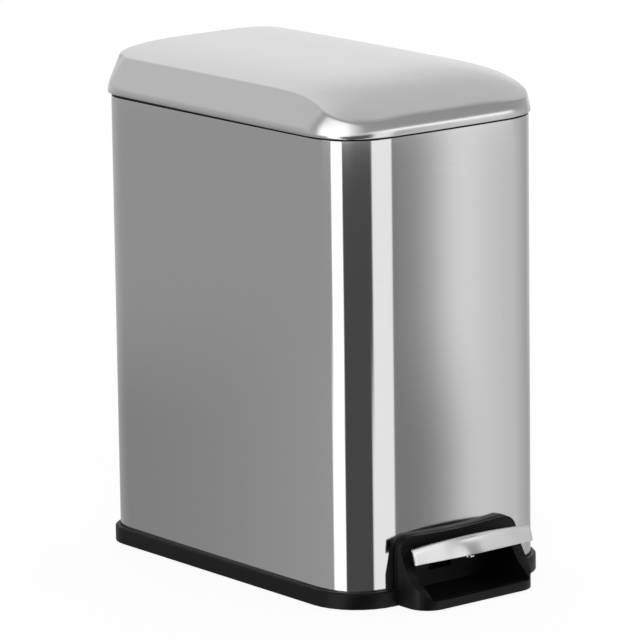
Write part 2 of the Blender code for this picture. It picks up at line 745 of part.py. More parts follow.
def make_bail(holder, place):
    """The wire bail, lying in the bucket's mouth along its rear half, and its plastic grip."""
    half = HALF_WIDTH - BUCKET_INSET - BUCKET_WALL
    arm = half - BAIL_WIRE / 2 - BUCKET_WALL
    bar = BAIL_Y + BAIL_REACH
    tip = half + BUCKET_WALL - SEAT_GAP
    path = [(tip, BAIL_Y), (arm, BAIL_Y)]
    path += arc((arm - BAIL_CORNER, bar - BAIL_CORNER), BAIL_CORNER, 0, 90, CORNER_STEPS)
    points = path + [(-x, y) for x, y in reversed(path)]
    curve = bpy.data.curves.new("bucket_bail", "CURVE")
    curve.dimensions = "3D"
    curve.bevel_depth = BAIL_WIRE / 2
    curve.bevel_resolution = 2
    curve.use_fill_caps = True
    spline = curve.splines.new("POLY")
    spline.points.add(len(points) - 1)
    for point, (x, y) in zip(spline.points, points):
        point.co = (x, y, BAIL_Z, 1)
    bail = bpy.data.objects.new("bucket_bail", curve)
    bpy.context.collection.objects.link(bail)
    curve.materials.append(bright_steel())
    attach(bail, holder, place)
    end = GRIP_LENGTH / 2
    grip = bar_x("bail_grip", (bar, BAIL_Z), GRIP_DIAMETER / 2, -end, end, bucket_plastic())
    bore = bar_x("bore", (bar, BAIL_Z), BAIL_WIRE / 2 + SEAT_GAP, -end - OVERRUN, end + OVERRUN)
    attach(shade(cut(grip, bore)), holder, place)


# Lid

def lid_wall(inset):
    """Height of the pressed side wall above the lower edge, at an inset from the widest outline."""
    reach = max(LID_WALL_RADIUS - inset, 0)
    return LID_BULGE + math.sqrt(LID_WALL_RADIUS ** 2 - reach ** 2)


def lid_crown(x, y):
    """Height of the crowned top above the lower edge."""
    side = CROWN_SIDE_DROP * abs(x / HALF_WIDTH) ** CROWN_SIDE_POWER
    ahead = max((CROWN_BACK - y) / (CROWN_BACK - FRONT + LID_FRONT_OVERHANG), 0)
    return CROWN_HEIGHT - side - CROWN_FRONT_DROP * ahead ** CROWN_FRONT_POWER


def lid_base_z(y):
    """Height of the lid's lower edge, which rises slightly to the rear."""
    return LID_EDGE + LID_REAR_RISE * (y - FRONT) / BODY_LENGTH


def lid_plan(inset):
    return rounded_plan(
        HALF_WIDTH + LID_OVERHANG - inset, FRONT - LID_FRONT_OVERHANG + inset,
        HALF_LENGTH + LID_OVERHANG - inset, FRONT_RADIUS + LID_FRONT_OVERHANG - inset,
        REAR_RADIUS + LID_OVERHANG - inset, SIDE_CUTS, END_CUTS,
    )


def crease_inset(index):
    """How far in from the widest outline the wall meets the crown, at one point of the plan."""
    low, high = 0, REAR_RADIUS
    for _ in range(CREASE_PASSES):
        middle = (low + high) / 2
        if lid_wall(middle) < lid_crown(*lid_plan(middle)[index]):
            low = middle
        else:
            high = middle
    return low


def crown_rings(shift, drop):
    """Rings from the widest outline up the wall and over the crown, moved in by shift, down by drop."""
    creases = [crease_inset(index) for index in range(len(lid_plan(0)))]
    rings = []
    for share in WALL_SHARES:
        ring = []
        for index, crease in enumerate(creases):
            x, y = lid_plan(share * crease + shift)[index]
            ring.append((x, y, lid_base_z(y) + lid_wall(share * crease) - drop))
        rings.append(ring)
    edge = rings[-1]
    for share in CROWN_SHARES:
        ring = []
        for x, y, _ in edge:
            px, py = x * share, CROWN_BACK + (y - CROWN_BACK) * share
            ring.append((px, py, lid_base_z(py) + lid_crown(px, py) - drop))
        rings.append(ring)
    return rings


def crown_skin(name, rings, drop, thickness, finish):
    """An open skin over the rings with a top point, thickened inwards."""
    bm = bmesh.new()
    loops = [[bm.verts.new(point) for point in ring] for ring in rings]
    count = len(rings[0])
    for lower, upper in zip(loops, loops[1:]):
        for index in range(count):
            after = (index + 1) % count
            bm.faces.new((lower[index], lower[after], upper[after], upper[index]))
    top = bm.verts.new((0, CROWN_BACK, lid_base_z(CROWN_BACK) + lid_crown(0, CROWN_BACK) - drop))
    for index in range(count):
        bm.faces.new((loops[-1][index], loops[-1][(index + 1) % count], top))
    skin = add_mesh(name, bm, finish)
    wall = skin.modifiers.new("wall", "SOLIDIFY")
    wall.thickness = thickness
    wall.offset = -1
    wall.use_even_offset = True
    return settle(skin)


def make_lid_shell(holder, place):
    """The pressed steel lid: turned-in lower edge, steep convex walls, crowned top."""
    lower = [
        [(x, y, lid_base_z(y) + height) for x, y in lid_plan(inset)]
        for inset, height in ((LID_CURL, 0), (LID_CURL / 4, LID_BULGE / 3))
    ]
    shell = crown_skin("lid_shell", lower + crown_rings(0, 0), 0, LID_SHEET, steel())
    inside, outside = HALF_LENGTH - LID_OVERHANG * 2, HALF_LENGTH + LID_OVERHANG + OVERRUN
    bottom, top = LID_EDGE - OVERRUN, HINGE_Z + LUG_RISE + RUN_GAP
    half = LUG_WIDTH / 2 + RUN_GAP
    for middle in (-LUG_SPACING / 2, LUG_SPACING / 2):
        notch = [(inside, bottom), (outside, bottom), (outside, top), (inside, top)]
        cut(shell, prism_x("notch", notch, middle - half, middle + half))
    return attach(shade(shell), holder, place)


def make_lid_liner(holder, place):
    """The black inner lid with its two hinge lugs and the two cheeks of the lifting horn."""
    drop = LID_SHEET + LINER_GAP
    shift = drop + LINER_INSET
    edge = [(x, y, lid_base_z(y) + LINER_EDGE) for x, y in lid_plan(shift + LINER_EDGE_INSET)]
    rings = crown_rings(shift, drop)[1:]
    liner = crown_skin("lid_liner", [edge] + rings, drop, LINER_WALL, black_plastic())
    lug = arc((HINGE_Y, HINGE_Z), BARREL_RADIUS, 180, 360, CORNER_STEPS)
    lug += [(HINGE_Y + LUG_REACH * back, HINGE_Z + LUG_RISE * up) for back, up in LUG_SHARES]
    for middle in (-LUG_SPACING / 2, LUG_SPACING / 2):
        join(liner, prism_x("lug", lug, middle - LUG_WIDTH / 2, middle + LUG_WIDTH / 2))
    reach = BRACKET_WIDTH
    cut(liner, bar_x("bore", (HINGE_Y, HINGE_Z), HINGE_PIN / 2 + SEAT_GAP, -reach, reach))
    wall_y = HORN_PIN_Y + HORN_EYE
    foot = HINGE_Z + LUG_RISE / 2
    top = HINGE_Z + HORN_RISE
    root_y = HALF_LENGTH + LID_OVERHANG - shift - LINER_WALL / 2
    eye = (HORN_PIN_Y, HORN_PIN_Z)
    horn = arc(eye, HORN_EYE, 180, 360, CORNER_STEPS)
    horn += [(wall_y, foot), (root_y, foot), (root_y, top), (HORN_PIN_Y - HORN_EYE, top)]
    outer = HORN_WIDTH / 2
    for left in (-outer, outer - HORN_CHEEK):
        join(liner, prism_x("cheek", horn, left, left + HORN_CHEEK))
    cut(liner, bar_x("eye", eye, HINGE_PIN / 2 + SEAT_GAP, -outer - OVERRUN, outer + OVERRUN))
    attach(shade(liner), holder, place)
    pin = bar_x("horn_pin", eye, HINGE_PIN / 2, -outer, outer, bright_steel())
    attach(shade(pin), holder, place)


# Hinge

def make_hinge(root):
    """The black bracket on the rear wall, its pin and its two screws."""
    front = HALF_LENGTH + SEAT_GAP
    rear = front + BRACKET_DEPTH
    bottom = HINGE_Z - BRACKET_HEIGHT
    radius = rear - HINGE_Y
    outline = [(front, bottom), (rear - BRACKET_CHAMFER, bottom), (rear, bottom + BRACKET_CHAMFER)]
    outline += arc((HINGE_Y, HINGE_Z), radius, 0, BRACKET_WRAP, CORNER_STEPS)
    outline += [(front, HINGE_Z + radius * 3 / 5)]
    half = BRACKET_WIDTH / 2
    bracket = prism_x("hinge_bracket", outline, -half, half, black_plastic())
    inside, outside = HALF_LENGTH - OVERRUN, rear + OVERRUN
    low, high = HINGE_Z - BARREL_RADIUS - RUN_GAP * 2, BODY_TOP + LUG_RISE
    gap = LUG_WIDTH / 2 + RUN_GAP
    for middle in (-LUG_SPACING / 2, LUG_SPACING / 2):
        slot = [(inside, low), (outside, low), (outside, high), (inside, high)]
        cut(bracket, prism_x("slot", slot, middle - gap, middle + gap))
    axis = (HINGE_Y, HINGE_Z)
    cut(bracket, bar_x("bore", axis, HINGE_PIN / 2 + SEAT_GAP, -half - OVERRUN, half + OVERRUN))
    z = HINGE_Z - BRACKET_SCREW_DROP
    seat = rear - SCREW_HEAD_HEIGHT * 3 / 2
    head = seat + SEAT_GAP
    tip = HALF_LENGTH - RECESS_INSET - RUN_GAP
    for number, x in enumerate((-BRACKET_SCREW_SPACING / 2, BRACKET_SCREW_SPACING / 2), 1):
        cut(bracket, bar_y("hole", x, z, SCREW_BORE, front - OVERRUN, outside))
        cut(bracket, bar_y("counterbore", x, z, SCREW_HEAD / 2 + SEAT_GAP, seat, outside))
        name = f"bracket_screw_{number}"
        screw = bar_y(name, x, z, SCREW_HEAD / 2, head, head + SCREW_HEAD_HEIGHT, bright_steel())
        shank = bar_y("shank", x, z, SCREW_DIAMETER / 2, tip, head + SCREW_HEAD_HEIGHT / 2)
        attach(shade(join(screw, shank)), root)
    attach(shade(bracket), root)
    pin = bar_x("hinge_pin", axis, HINGE_PIN / 2, RUN_GAP - half, half - RUN_GAP, bright_steel())
    attach(shade(pin), root)


# Pedal, lever and rod

def pedal_outline(x):
    """The steel cover's section at x: a leaning face with a short flange on top."""
    top = PEDAL_TOP - PEDAL_CROWN * (2 * x / PEDAL_WIDTH) ** 2
    face = FRONT - PEDAL_REACH
    path = [
        (face + PEDAL_LEAN * lean, PEDAL_BOTTOM + (top - PEDAL_BOTTOM) * height)
        for lean, height in PEDAL_FACE_SHARES
    ]
    path.append((path[-1][0] + PEDAL_FLANGE, top))
    return thick_path(path, PEDAL_SHEET, 0)


def make_pedal(holder, place):
    """The steel pedal cover, the black carrier behind it and the screw that holds both to the lever."""
    half = PEDAL_WIDTH / 2
    stations = [-half + PEDAL_WIDTH * step / PEDAL_STATIONS for step in range(PEDAL_STATIONS + 1)]
    rings = [[(x, y, z) for y, z in pedal_outline(x)] for x in stations]
    attach(shade(loft("pedal_plate", rings, steel())), holder, place)

    # The carrier's front follows the cover's leaning face behind its sheet
    face = FRONT - PEDAL_REACH + PEDAL_SHEET + SEAT_GAP
    low, high = (face + PEDAL_LEAN * PEDAL_FACE_SHARES[step][0] for step in (1, 2))
    pad_top = PAD_BOTTOM + PAD_HEIGHT
    back = low + PAD_DEPTH
    outline = [(low, PAD_BOTTOM), (high + SEAT_GAP, pad_top), (back, pad_top), (back, PAD_BOTTOM)]
    pad_half = POCKET_WIDTH / 2 - PAD_SIDE_CLEAR
    pad = prism_x("pedal_pad", outline, -pad_half, pad_half, black_plastic())
    center = (0, FRONT - PEDAL_REACH + PEDAL_SCREW_BACK)
    bore_top = PAD_BOTTOM + PAD_HEIGHT * 3 / 4
    cut(pad, disc("bore", center, SCREW_BORE, PAD_BOTTOM - OVERRUN, bore_top))
    attach(pad, holder, place)
    head_top = PEDAL_BOTTOM - SEAT_GAP
    head = head_top - SCREW_HEAD_HEIGHT
    screw = disc("pedal_screw", center, SCREW_HEAD / 2, head, head_top, bright_steel())
    shank = disc("shank", center, SCREW_DIAMETER / 2, (head + head_top) / 2, bore_top - SEAT_GAP)
    attach(shade(join(screw, shank)), holder, place)
    return center


def make_lever(holder, place, screw_center):
    """The steel lever from under the pedal back to the lift rod, with its barrel on the fulcrum."""
    front_end = FRONT - PEDAL_REACH + PEDAL_SHEET + RUN_GAP
    path = [
        (front_end, LEVER_FRONT_Z), (FRONT - LEVER_CRANK, LEVER_FRONT_Z),
        (FRONT + LEVER_SHOULDER, PIVOT_Z + LEVER_CRANK), (PIVOT_Y, PIVOT_Z),
        (ROD_Y + LEVER_TAIL, LEVER_REAR_Z - (PIVOT_Z - LEVER_REAR_Z) * LEVER_TAIL / LEVER_ARM),
    ]
    half = LEVER_WIDTH / 2
    lever = prism_x("pedal_lever", thick_path(path, LEVER_THICKNESS), -half, half, bright_steel())
    join(lever, bar_x("barrel", (PIVOT_Y, PIVOT_Z), LEVER_BARREL, -half, half))
    reach = half + OVERRUN
    cut(lever, bar_x("bore", (PIVOT_Y, PIVOT_Z), LEVER_PIN / 2 + SEAT_GAP, -reach, reach))
    slot_half = ROD_DIAMETER / 2 + RUN_GAP
    slot_reach = slot_half + RUN_GAP
    slot = prism("slot", box_plan(slot_half, ROD_Y - slot_reach, ROD_Y + slot_reach), 0, LEVER_FRONT_Z)
    bore = disc("bore", screw_center, SCREW_BORE, PEDAL_BOTTOM - OVERRUN, PAD_BOTTOM + OVERRUN)
    cut(lever, slot, bore)
    return attach(shade(lever), holder, place)


def make_lever_pin(root):
    """The fulcrum pin through the base's two ears, with a push-on clip at each end."""
    ear_outer = LEVER_WIDTH / 2 + RUN_GAP + EAR_WALL
    clip_inner = ear_outer + SEAT_GAP
    half = clip_inner + CLIP_THICKNESS + PIN_TAIL
    axis = (PIVOT_Y, PIVOT_Z)
    pin = bar_x("lever_pin", axis, LEVER_PIN / 2, -half, half, bright_steel())
    attach(shade(pin), root)
    for name, left in (("pin_clip_left", -clip_inner - CLIP_THICKNESS), ("pin_clip_right", clip_inner)):
        right = left + CLIP_THICKNESS
        clip = bar_x(name, axis, CLIP_DIAMETER / 2, left, right, bright_steel())
        cut(clip, bar_x("bore", axis, LEVER_PIN / 2 + SEAT_GAP, left - OVERRUN, right + OVERRUN))
        attach(shade(clip), root)


def make_lift_rod(holder):
    """The lift rod: a round wire with a slotted flat head and a collar that sits on the lever."""
    center = (0, ROD_Y)
    lever_top = LEVER_REAR_Z + LEVER_THICKNESS / 2
    lean = ROD_COLLAR / 2 * math.sin(LEVER_ANGLE / 2)
    collar_bottom = lever_top + lean + SEAT_GAP
    bottom = LEVER_REAR_Z - LEVER_THICKNESS / 2 - ROD_TAIL
    top = HORN_PIN_Z - ROD_HEAD_HEIGHT / 2 + ROD_HEAD_WALL / 2
    rod = disc("lift_rod", center, ROD_DIAMETER / 2, bottom, top, bright_steel())
    join(rod, disc("collar", center, ROD_COLLAR / 2, collar_bottom, collar_bottom + ROD_COLLAR_HEIGHT))
    half = ROD_HEAD_LENGTH / 2
    radius = ROD_HEAD_HEIGHT / 2
    ends = half - radius
    outline = arc((ROD_Y + ends, HORN_PIN_Z), radius, -90, 90, CORNER_STEPS)
    outline += arc((ROD_Y - ends, HORN_PIN_Z), radius, 90, 270, CORNER_STEPS)
    slot_radius = HINGE_PIN / 2 + ROD_SLOT_PLAY
    slot_outline = arc((ROD_Y + ends, HORN_PIN_Z), slot_radius, -90, 90, CORNER_STEPS)
    slot_outline += arc((ROD_Y - ends, HORN_PIN_Z), slot_radius, 90, 270, CORNER_STEPS)
    head_half = ROD_HEAD_THICKNESS / 2
    join(rod, prism_x("head", outline, -head_half, head_half))
    cut(rod, prism_x("slot", slot_outline, -head_half - OVERRUN, head_half + OVERRUN))
    return attach(shade(rod), holder, (0, ROD_Y, 0))


def make_bumpers(root):
    """Two rubber studs on the collar's front edge, on which the closed lid rests."""
    y = FRONT + RECESS_INSET + SEAT_GAP - BUMPER_DIAMETER / 2
    bottom = COLLAR_TOP + SEAT_GAP
    top = LID_EDGE + LINER_EDGE - SEAT_GAP
    for name, x in (("lid_bumper_left", -BUMPER_SPACING / 2), ("lid_bumper_right", BUMPER_SPACING / 2)):
        attach(shade(disc(name, (x, y), BUMPER_DIAMETER / 2, bottom, top, rubber())), root)


def main():
    clear_scene()
    root = empty("bin_root", (0, OFFSET_Y, FOOT_PROUD))
    make_outer_shell(root)
    make_rim_collar(root)
    make_base(root)
    make_feet(root)
    make_mechanism_floor(root)
    make_rod_channel(root)
    make_bumpers(root)
    make_hinge(root)
    make_lever_pin(root)

    bucket_place = (0, 0, BUCKET_BOTTOM)
    bucket_frame = empty("bucket_slide", bucket_place, root)
    make_bucket(bucket_frame, bucket_place)
    bail_place = (0, BAIL_Y, BAIL_Z)
    bail_frame = empty("bail_hinge", Vector(bail_place) - Vector(bucket_place), bucket_frame)
    make_bail(bail_frame, bail_place)

    lid_place = (0, HINGE_Y, HINGE_Z)
    lid_frame = empty("lid_hinge", lid_place, root)
    make_lid_shell(lid_frame, lid_place)
    make_lid_liner(lid_frame, lid_place)

    lever_place = (0, PIVOT_Y, PIVOT_Z)
    lever_frame = empty("lever_pivot", lever_place, root)
    screw_center = make_pedal(lever_frame, lever_place)
    make_lever(lever_frame, lever_place, screw_center)

    rod_frame = empty("rod_slide", (0, ROD_Y, 0), root)
    make_lift_rod(rod_frame)


main()
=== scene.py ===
"""Slim pedal bin in brushed steel and black plastic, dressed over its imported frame."""
import json
import math

import bmesh
import bpy
import numpy
from mathutils import Matrix, Vector
from mathutils.bvhtree import BVHTree


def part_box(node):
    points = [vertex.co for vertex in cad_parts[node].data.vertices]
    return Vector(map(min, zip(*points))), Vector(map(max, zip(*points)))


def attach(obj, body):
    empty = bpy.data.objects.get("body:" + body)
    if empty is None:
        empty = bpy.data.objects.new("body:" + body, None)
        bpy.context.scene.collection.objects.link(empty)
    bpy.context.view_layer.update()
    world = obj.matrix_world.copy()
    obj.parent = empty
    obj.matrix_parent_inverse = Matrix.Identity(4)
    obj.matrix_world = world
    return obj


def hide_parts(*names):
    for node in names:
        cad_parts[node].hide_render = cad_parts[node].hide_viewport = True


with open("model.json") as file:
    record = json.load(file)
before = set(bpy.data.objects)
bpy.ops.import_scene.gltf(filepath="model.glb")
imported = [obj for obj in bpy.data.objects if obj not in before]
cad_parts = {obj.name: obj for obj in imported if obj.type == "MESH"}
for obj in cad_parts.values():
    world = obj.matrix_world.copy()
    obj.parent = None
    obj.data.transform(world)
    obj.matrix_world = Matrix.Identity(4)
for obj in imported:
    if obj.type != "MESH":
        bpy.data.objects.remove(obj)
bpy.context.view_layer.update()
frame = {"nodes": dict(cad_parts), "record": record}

NODES = frame["nodes"]

# The body's own frame: x and y from the middle of its plan, z from the underside of the base
SHELL_LOW, SHELL_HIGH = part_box("outer_shell")
HALF_WIDTH = (SHELL_HIGH.x - SHELL_LOW.x) / 2
HALF_LENGTH = (SHELL_HIGH.y - SHELL_LOW.y) / 2
FRONT = -HALF_LENGTH
BIN_PLACE = Vector((0, (SHELL_HIGH.y + SHELL_LOW.y) / 2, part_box("base_moulding")[0].z))
SHEET_FOOT = SHELL_LOW.z - BIN_PLACE.z
SHEET_TOP = SHELL_HIGH.z - BIN_PLACE.z
SHEET = 0.0006
BASE_EDGE_ROUND = 0.0007

# The plan's corners: how far each runs along its flats, and the plain radius whose middle it meets
FRONT_CORNER = (0.033, 0.029)
REAR_CORNER = (0.021, 0.018)
# How far the flats swell between the corners
FRONT_SWELL = 0.0005
SIDE_SWELL = 0.0003

# Camera, from the body's straight edges in the photograph
CAMERA_LENS = 285.36
CAMERA_SENSOR = 36.0
CAMERA_TURN = math.radians(38.601)
CAMERA_FALL = math.radians(12.254)
CAMERA_LEAN = math.radians(-0.770)
CAMERA_DISTANCE = 2.88818
AIM_HEIGHT = 0.150
AIM_RIGHT = 0.00212
AIM_UP = 0.01268
CAMERA_NEAR = 0.1
CAMERA_FAR = 20

# Studio drum that the steel reflects
DRUM_RADIUS = 0.6
DRUM_TOP = 1.5
DRUM_FOOT = -1.2
DRUM_LEVELS = (DRUM_FOOT, 0.0, 0.3, 0.6, DRUM_TOP)
DRUM_STEPS = 96

# How far a cutting block runs past what it cuts
OVERRUN = 0.004

# Degrees over which an edge stays sharp: the wall over its hem, the feet, the screws and the grip,
# and the pressed sheets and the wire
SHARP_OVER_HEM = 8.0
SHARP_PLAIN = 35.0
SHARP_ROUND = 40.0
SHARP_PRESSED = 50.0
# A CAD piece: the degrees over which its edges are rounded, the lean within which facets become one face,
# and the distance within which points become one
MOULDED_EDGE = 30
FLAT_WITHIN = math.radians(1)
SAME_POINT = 0.000001


# Small tools

def add_mesh(name, bm, finish=None):
    """An object in the scene from a bmesh, with its finish."""
    mesh = bpy.data.meshes.new(name)
    bm.to_mesh(mesh)
    bm.free()
    made = bpy.data.objects.new(name, mesh)
    bpy.context.scene.collection.objects.link(made)
    if finish:
        mesh.materials.append(finish)
    return made


def settle(item):
    """Replaces an object's mesh by what its modifiers give."""
    graph = bpy.context.evaluated_depsgraph_get()
    mesh = bpy.data.meshes.new_from_object(item.evaluated_get(graph))
    item.modifiers.clear()
    item.data = mesh
    return item


def face_out(item):
    """Turns every face of a closed piece outwards."""
    bm = bmesh.new()
    bm.from_mesh(item.data)
    bmesh.ops.recalc_face_normals(bm, faces=bm.faces)
    bm.to_mesh(item.data)
    bm.free()
    return item


def cut(item, tool):
    """Takes a block out of a piece, and removes the block."""
    step = item.modifiers.new("cut", "BOOLEAN")
    step.operation = "DIFFERENCE"
    step.solver = "EXACT"
    step.object = tool
    settle(item)
    bpy.data.objects.remove(tool, do_unlink=True)


def thicken(sheet, thickness, offset=-1):
    """Gives a bent sheet its thickness."""
    wall = sheet.modifiers.new("wall", "SOLIDIFY")
    wall.thickness = thickness
    wall.offset = offset
    wall.use_even_offset = True
    return settle(sheet)


def round_edges(item, width, segments, degrees, harden=False):
    """Rounds the edges that are sharper than an angle."""
    item.data.shade_smooth()
    edges = item.modifiers.new("edges", "BEVEL")
    edges.width = width
    edges.segments = segments
    edges.limit_method = "ANGLE"
    edges.angle_limit = math.radians(degrees)
    edges.harden_normals = harden
    return settle(item)


def shade(item, degrees=SHARP_PLAIN):
    """Smooth shading, but for edges sharper than an angle."""
    item.data.shade_smooth()
    item.data.set_sharp_from_angle(angle=math.radians(degrees))
    return item


def finish_piece(item, body, slot, *replaced):
    """Puts a piece on its body and hides the CAD nodes it stands for."""
    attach(item, body)
    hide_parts(*replaced)


def loft(name, rings, finish=None, capped=True):
    """A skin over rings of equal count, facing out, its ends capped or left open."""
    bm = bmesh.new()
    loops = [[bm.verts.new(Vector(point) + BIN_PLACE) for point in ring] for ring in rings]
    count = len(rings[0])
    if capped:
        bm.faces.new(loops[0])
        bm.faces.new(loops[-1])
    for lower, upper in zip(loops, loops[1:]):
        for index in range(count):
            after = (index + 1) % count
            bm.faces.new((lower[index], lower[after], upper[after], upper[index]))
    bmesh.ops.recalc_face_normals(bm, faces=bm.faces)
    return add_mesh(name, bm, finish)


def cutting_block(low, high):
    """A block between two corners, for cut() to take out of a piece."""
    corners = ((low[0], low[1]), (high[0], low[1]), (high[0], high[1]), (low[0], high[1]))
    return loft("notch", [[(x, y, z) for x, y in corners] for z in (low[2], high[2])])


def in_bin(node):
    """A node's box in the body's own frame."""
    return [corner - BIN_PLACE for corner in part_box(node)]


# Plan of the body and the lid

# Steps round a corner and along an end and a side, and the finer ones that a corner is summed from
CORNER_STEPS = 24
END_STEPS = 20
SIDE_STEPS = 30
FINE_STEPS = 12


def corner_run(lean_in, lean_out, sweep, plain):
    """Points along and in from a corner's start: its bend grows out of one flat and dies into the next."""
    turn = math.pi / 2 - lean_out - lean_in
    count = CORNER_STEPS * FINE_STEPS
    angles = [lean_in + turn * (k + 0.5) / count for k in range(count)]
    spans = [2 * (k + 0.5) / count - 1 for k in range(count)]

    def run_of(bends, part):
        steps = [bend * part(angle) * turn / count for bend, angle in zip(bends, angles)]
        return numpy.concatenate([[0], numpy.cumsum(steps)])

    kinds = ([1.0] * count, [span ** 2 for span in spans], spans)
    along = [run_of(bends, math.cos) for bends in kinds]
    inward = [run_of(bends, math.sin) for bends in kinds]
    middle = round((math.pi / 4 - lean_in) / turn * count)
    diagonal = math.sqrt(2)
    ways = [
        [run[-1] for run in along], [run[-1] for run in inward],
        [(run[middle] - fall[middle]) / diagonal for run, fall in zip(along, inward)],
    ]
    gap = plain * (diagonal - 1)
    shares = numpy.linalg.solve(ways, [sweep, sweep, sweep / diagonal - gap])
    return [
        tuple(float(sum(share * run[k] for share, run in zip(shares, runs))) for runs in (along, inward))
        for k in range(0, count + 1, FINE_STEPS)
    ]


def soft_plan(half, front, rear, fore, back, swells):
    """Points and outward normals round a plan, counter-clockwise.

    fore and back are the front and rear corners' sweep and plain radius, swells those of ends and sides.
    """
    ends, sides = swells
    side = (rear - front - fore[0] - back[0], sides, SIDE_STEPS)
    flats = (
        (2 * (half - fore[0]), ends, END_STEPS), side,
        (2 * (half - back[0]), ends / 2, END_STEPS), side,
    )
    leans = [math.atan(4 * swell / length) for length, swell, _ in flats]
    starts = (
        (half - fore[0], front), (half, rear - back[0]), (back[0] - half, rear), (-half, front + fore[0]),
    )
    headings = ((1, 0), (0, 1), (-1, 0), (0, -1))
    points = []
    for index, ((x, y), (hx, hy)) in enumerate(zip(starts, headings)):
        sweep, plain = (fore, back, back, fore)[index]
        after = (index + 1) % 4
        for along, inward in corner_run(leans[index], leans[after], sweep, plain):
            points.append((x + hx * along - hy * inward, y + hy * along + hx * inward))
        length, swell, count = flats[after]
        hx, hy = headings[after]
        x, y = points[-1]
        for step in range(1, count):
            share = step / count
            out = swell * 4 * share * (1 - share)
            points.append((x + hx * length * share + hy * out, y + hy * length * share - hx * out))
    normals = []
    for index, point in enumerate(points):
        before, beyond = points[index - 1], points[(index + 1) % len(points)]
        run = Vector((beyond[0] - before[0], beyond[1] - before[1])).normalized()
        normals.append((run.y, -run.x))
    return points, normals


def ring_of(plan, inset):
    """The plan's outline, drawn in by an inset."""
    return [(x - nx * inset, y - ny * inset) for (x, y), (nx, ny) in zip(*plan)]


BODY_PLAN = soft_plan(
    HALF_WIDTH, FRONT, HALF_LENGTH, FRONT_CORNER, REAR_CORNER, (FRONT_SWELL, SIDE_SWELL),
)


# Node trees

class Tree:
    """A node tree in the making."""

    def __init__(self, tree):
        self.tree = tree

    def node(self, kind, feeds=(), **settings):
        """A node with its settings, its sockets fed by other nodes or by plain values."""
        made = self.tree.nodes.new(kind)
        for key, value in settings.items():
            setattr(made, key, value)
        for socket, value in dict(feeds).items():
            self.feed(value, made.inputs[socket])
        return made

    def feed(self, value, socket):
        if isinstance(value, bpy.types.NodeSocket):
            self.tree.links.new(value, socket)
        else:
            socket.default_value = value

    def math(self, operation, *values):
        return self.node("ShaderNodeMath", enumerate(values), operation=operation).outputs[0]

    def times(self, *values):
        return self.math("MULTIPLY", *values)

    def between(self, value, start, end, low=0.0, high=1.0, **settings):
        """The value carried from one range to another."""
        return self.node("ShaderNodeMapRange", {
            "Value": value, "From Min": start, "From Max": end, "To Min": low, "To Max": high,
        }, **settings).outputs["Result"]

    def blend(self, factor, first, second):
        """One colour, and the other as the factor rises."""
        feeds = {"Factor": factor, "A": first, "B": second}
        return self.node("ShaderNodeMix", feeds, data_type="RGBA").outputs["Result"]

    def choose(self, factor, first, second):
        """One shader, and the other where the factor is one."""
        return self.node("ShaderNodeMixShader", {0: factor, 1: first, 2: second}).outputs[0]


# Geometry Nodes patterns

class Pattern(Tree):
    """A Geometry Nodes tree in the making; its sizes are its named inputs."""

    def __init__(self, name, *sizes):
        super().__init__(bpy.data.node_groups.new(name, "GeometryNodeTree"))
        sockets = self.tree.interface
        sockets.new_socket("Geometry", in_out="INPUT", socket_type="NodeSocketGeometry")
        for size in sizes:
            sockets.new_socket(size, in_out="INPUT", socket_type="NodeSocketFloat")
        sockets.new_socket("Geometry", in_out="OUTPUT", socket_type="NodeSocketGeometry")
        self.size = self.tree.nodes.new("NodeGroupInput").outputs
        self.seeds = self.size["Geometry"]

    def vector(self, x=0.0, y=0.0, z=0.0):
        return self.node("ShaderNodeCombineXYZ", {"X": x, "Y": y, "Z": z}).outputs[0]

    def cylinder(self, radius, depth, around, along=1, inward=1):
        """A cylinder along z, with its counts of faces round it, along it and in from its rims."""
        return self.node("GeometryNodeMeshCylinder", {
            "Vertices": around, "Side Segments": along, "Fill Segments": inward,
            "Radius": radius, "Depth": depth,
        }).outputs["Mesh"]

    def raised(self, piece, height):
        """The piece, moved up as a whole."""
        feeds = {"Geometry": piece, "Translation": self.vector(z=height)}
        return self.node("GeometryNodeTransform", feeds).outputs[0]

    def shifted(self, piece, offset):
        """The piece, each point moved by its own offset."""
        return self.node("GeometryNodeSetPosition", {"Geometry": piece, "Offset": offset}).outputs[0]

    def spread(self, x, y):
        """A point's distance from the piece's own axis."""
        return self.math("SQRT", self.math("ADD", self.times(x, x), self.times(y, y)))

    def place(self):
        """A point's x, y and z."""
        spot = self.node("GeometryNodeInputPosition").outputs[0]
        return self.node("ShaderNodeSeparateXYZ", {0: spot}).outputs

    def repeat(self, piece, finish):
        """Ends the tree with the piece on each seed point."""
        spots = self.node("GeometryNodeMeshToPoints", {"Mesh": self.seeds}).outputs[0]
        placed = self.node("GeometryNodeInstanceOnPoints", {"Points": spots, "Instance": piece}).outputs[0]
        self.close(placed, finish)

    def close(self, result, finish):
        """Ends the tree: real geometry with its finish."""
        whole = self.node("GeometryNodeRealizeInstances", {"Geometry": result}).outputs[0]
        coated = self.node("GeometryNodeSetMaterial", {"Geometry": whole, "Material": finish}).outputs[0]
        self.node("NodeGroupOutput", {0: coated})


def grow(name, seeds, pattern, sizes, edges=(), turn=None):
    """Runs a pattern on points or a path, and keeps its plain mesh, turned into place."""
    mesh = bpy.data.meshes.new(name)
    mesh.from_pydata(seeds, edges, [])
    item = bpy.data.objects.new(name, mesh)
    bpy.context.scene.collection.objects.link(item)
    run = item.modifiers.new("pattern", "NODES")
    run.node_group = pattern.tree
    for socket in pattern.tree.interface.items_tree:
        if socket.in_out == "INPUT" and socket.name in sizes:
            run[socket.identifier] = sizes[socket.name]
    settle(item)
    if turn:
        item.data.transform(turn)
    return face_out(item)


# Finishes

# Where the noise's dark and light ends lie
NOISE_REACH = (0.3, 0.7)
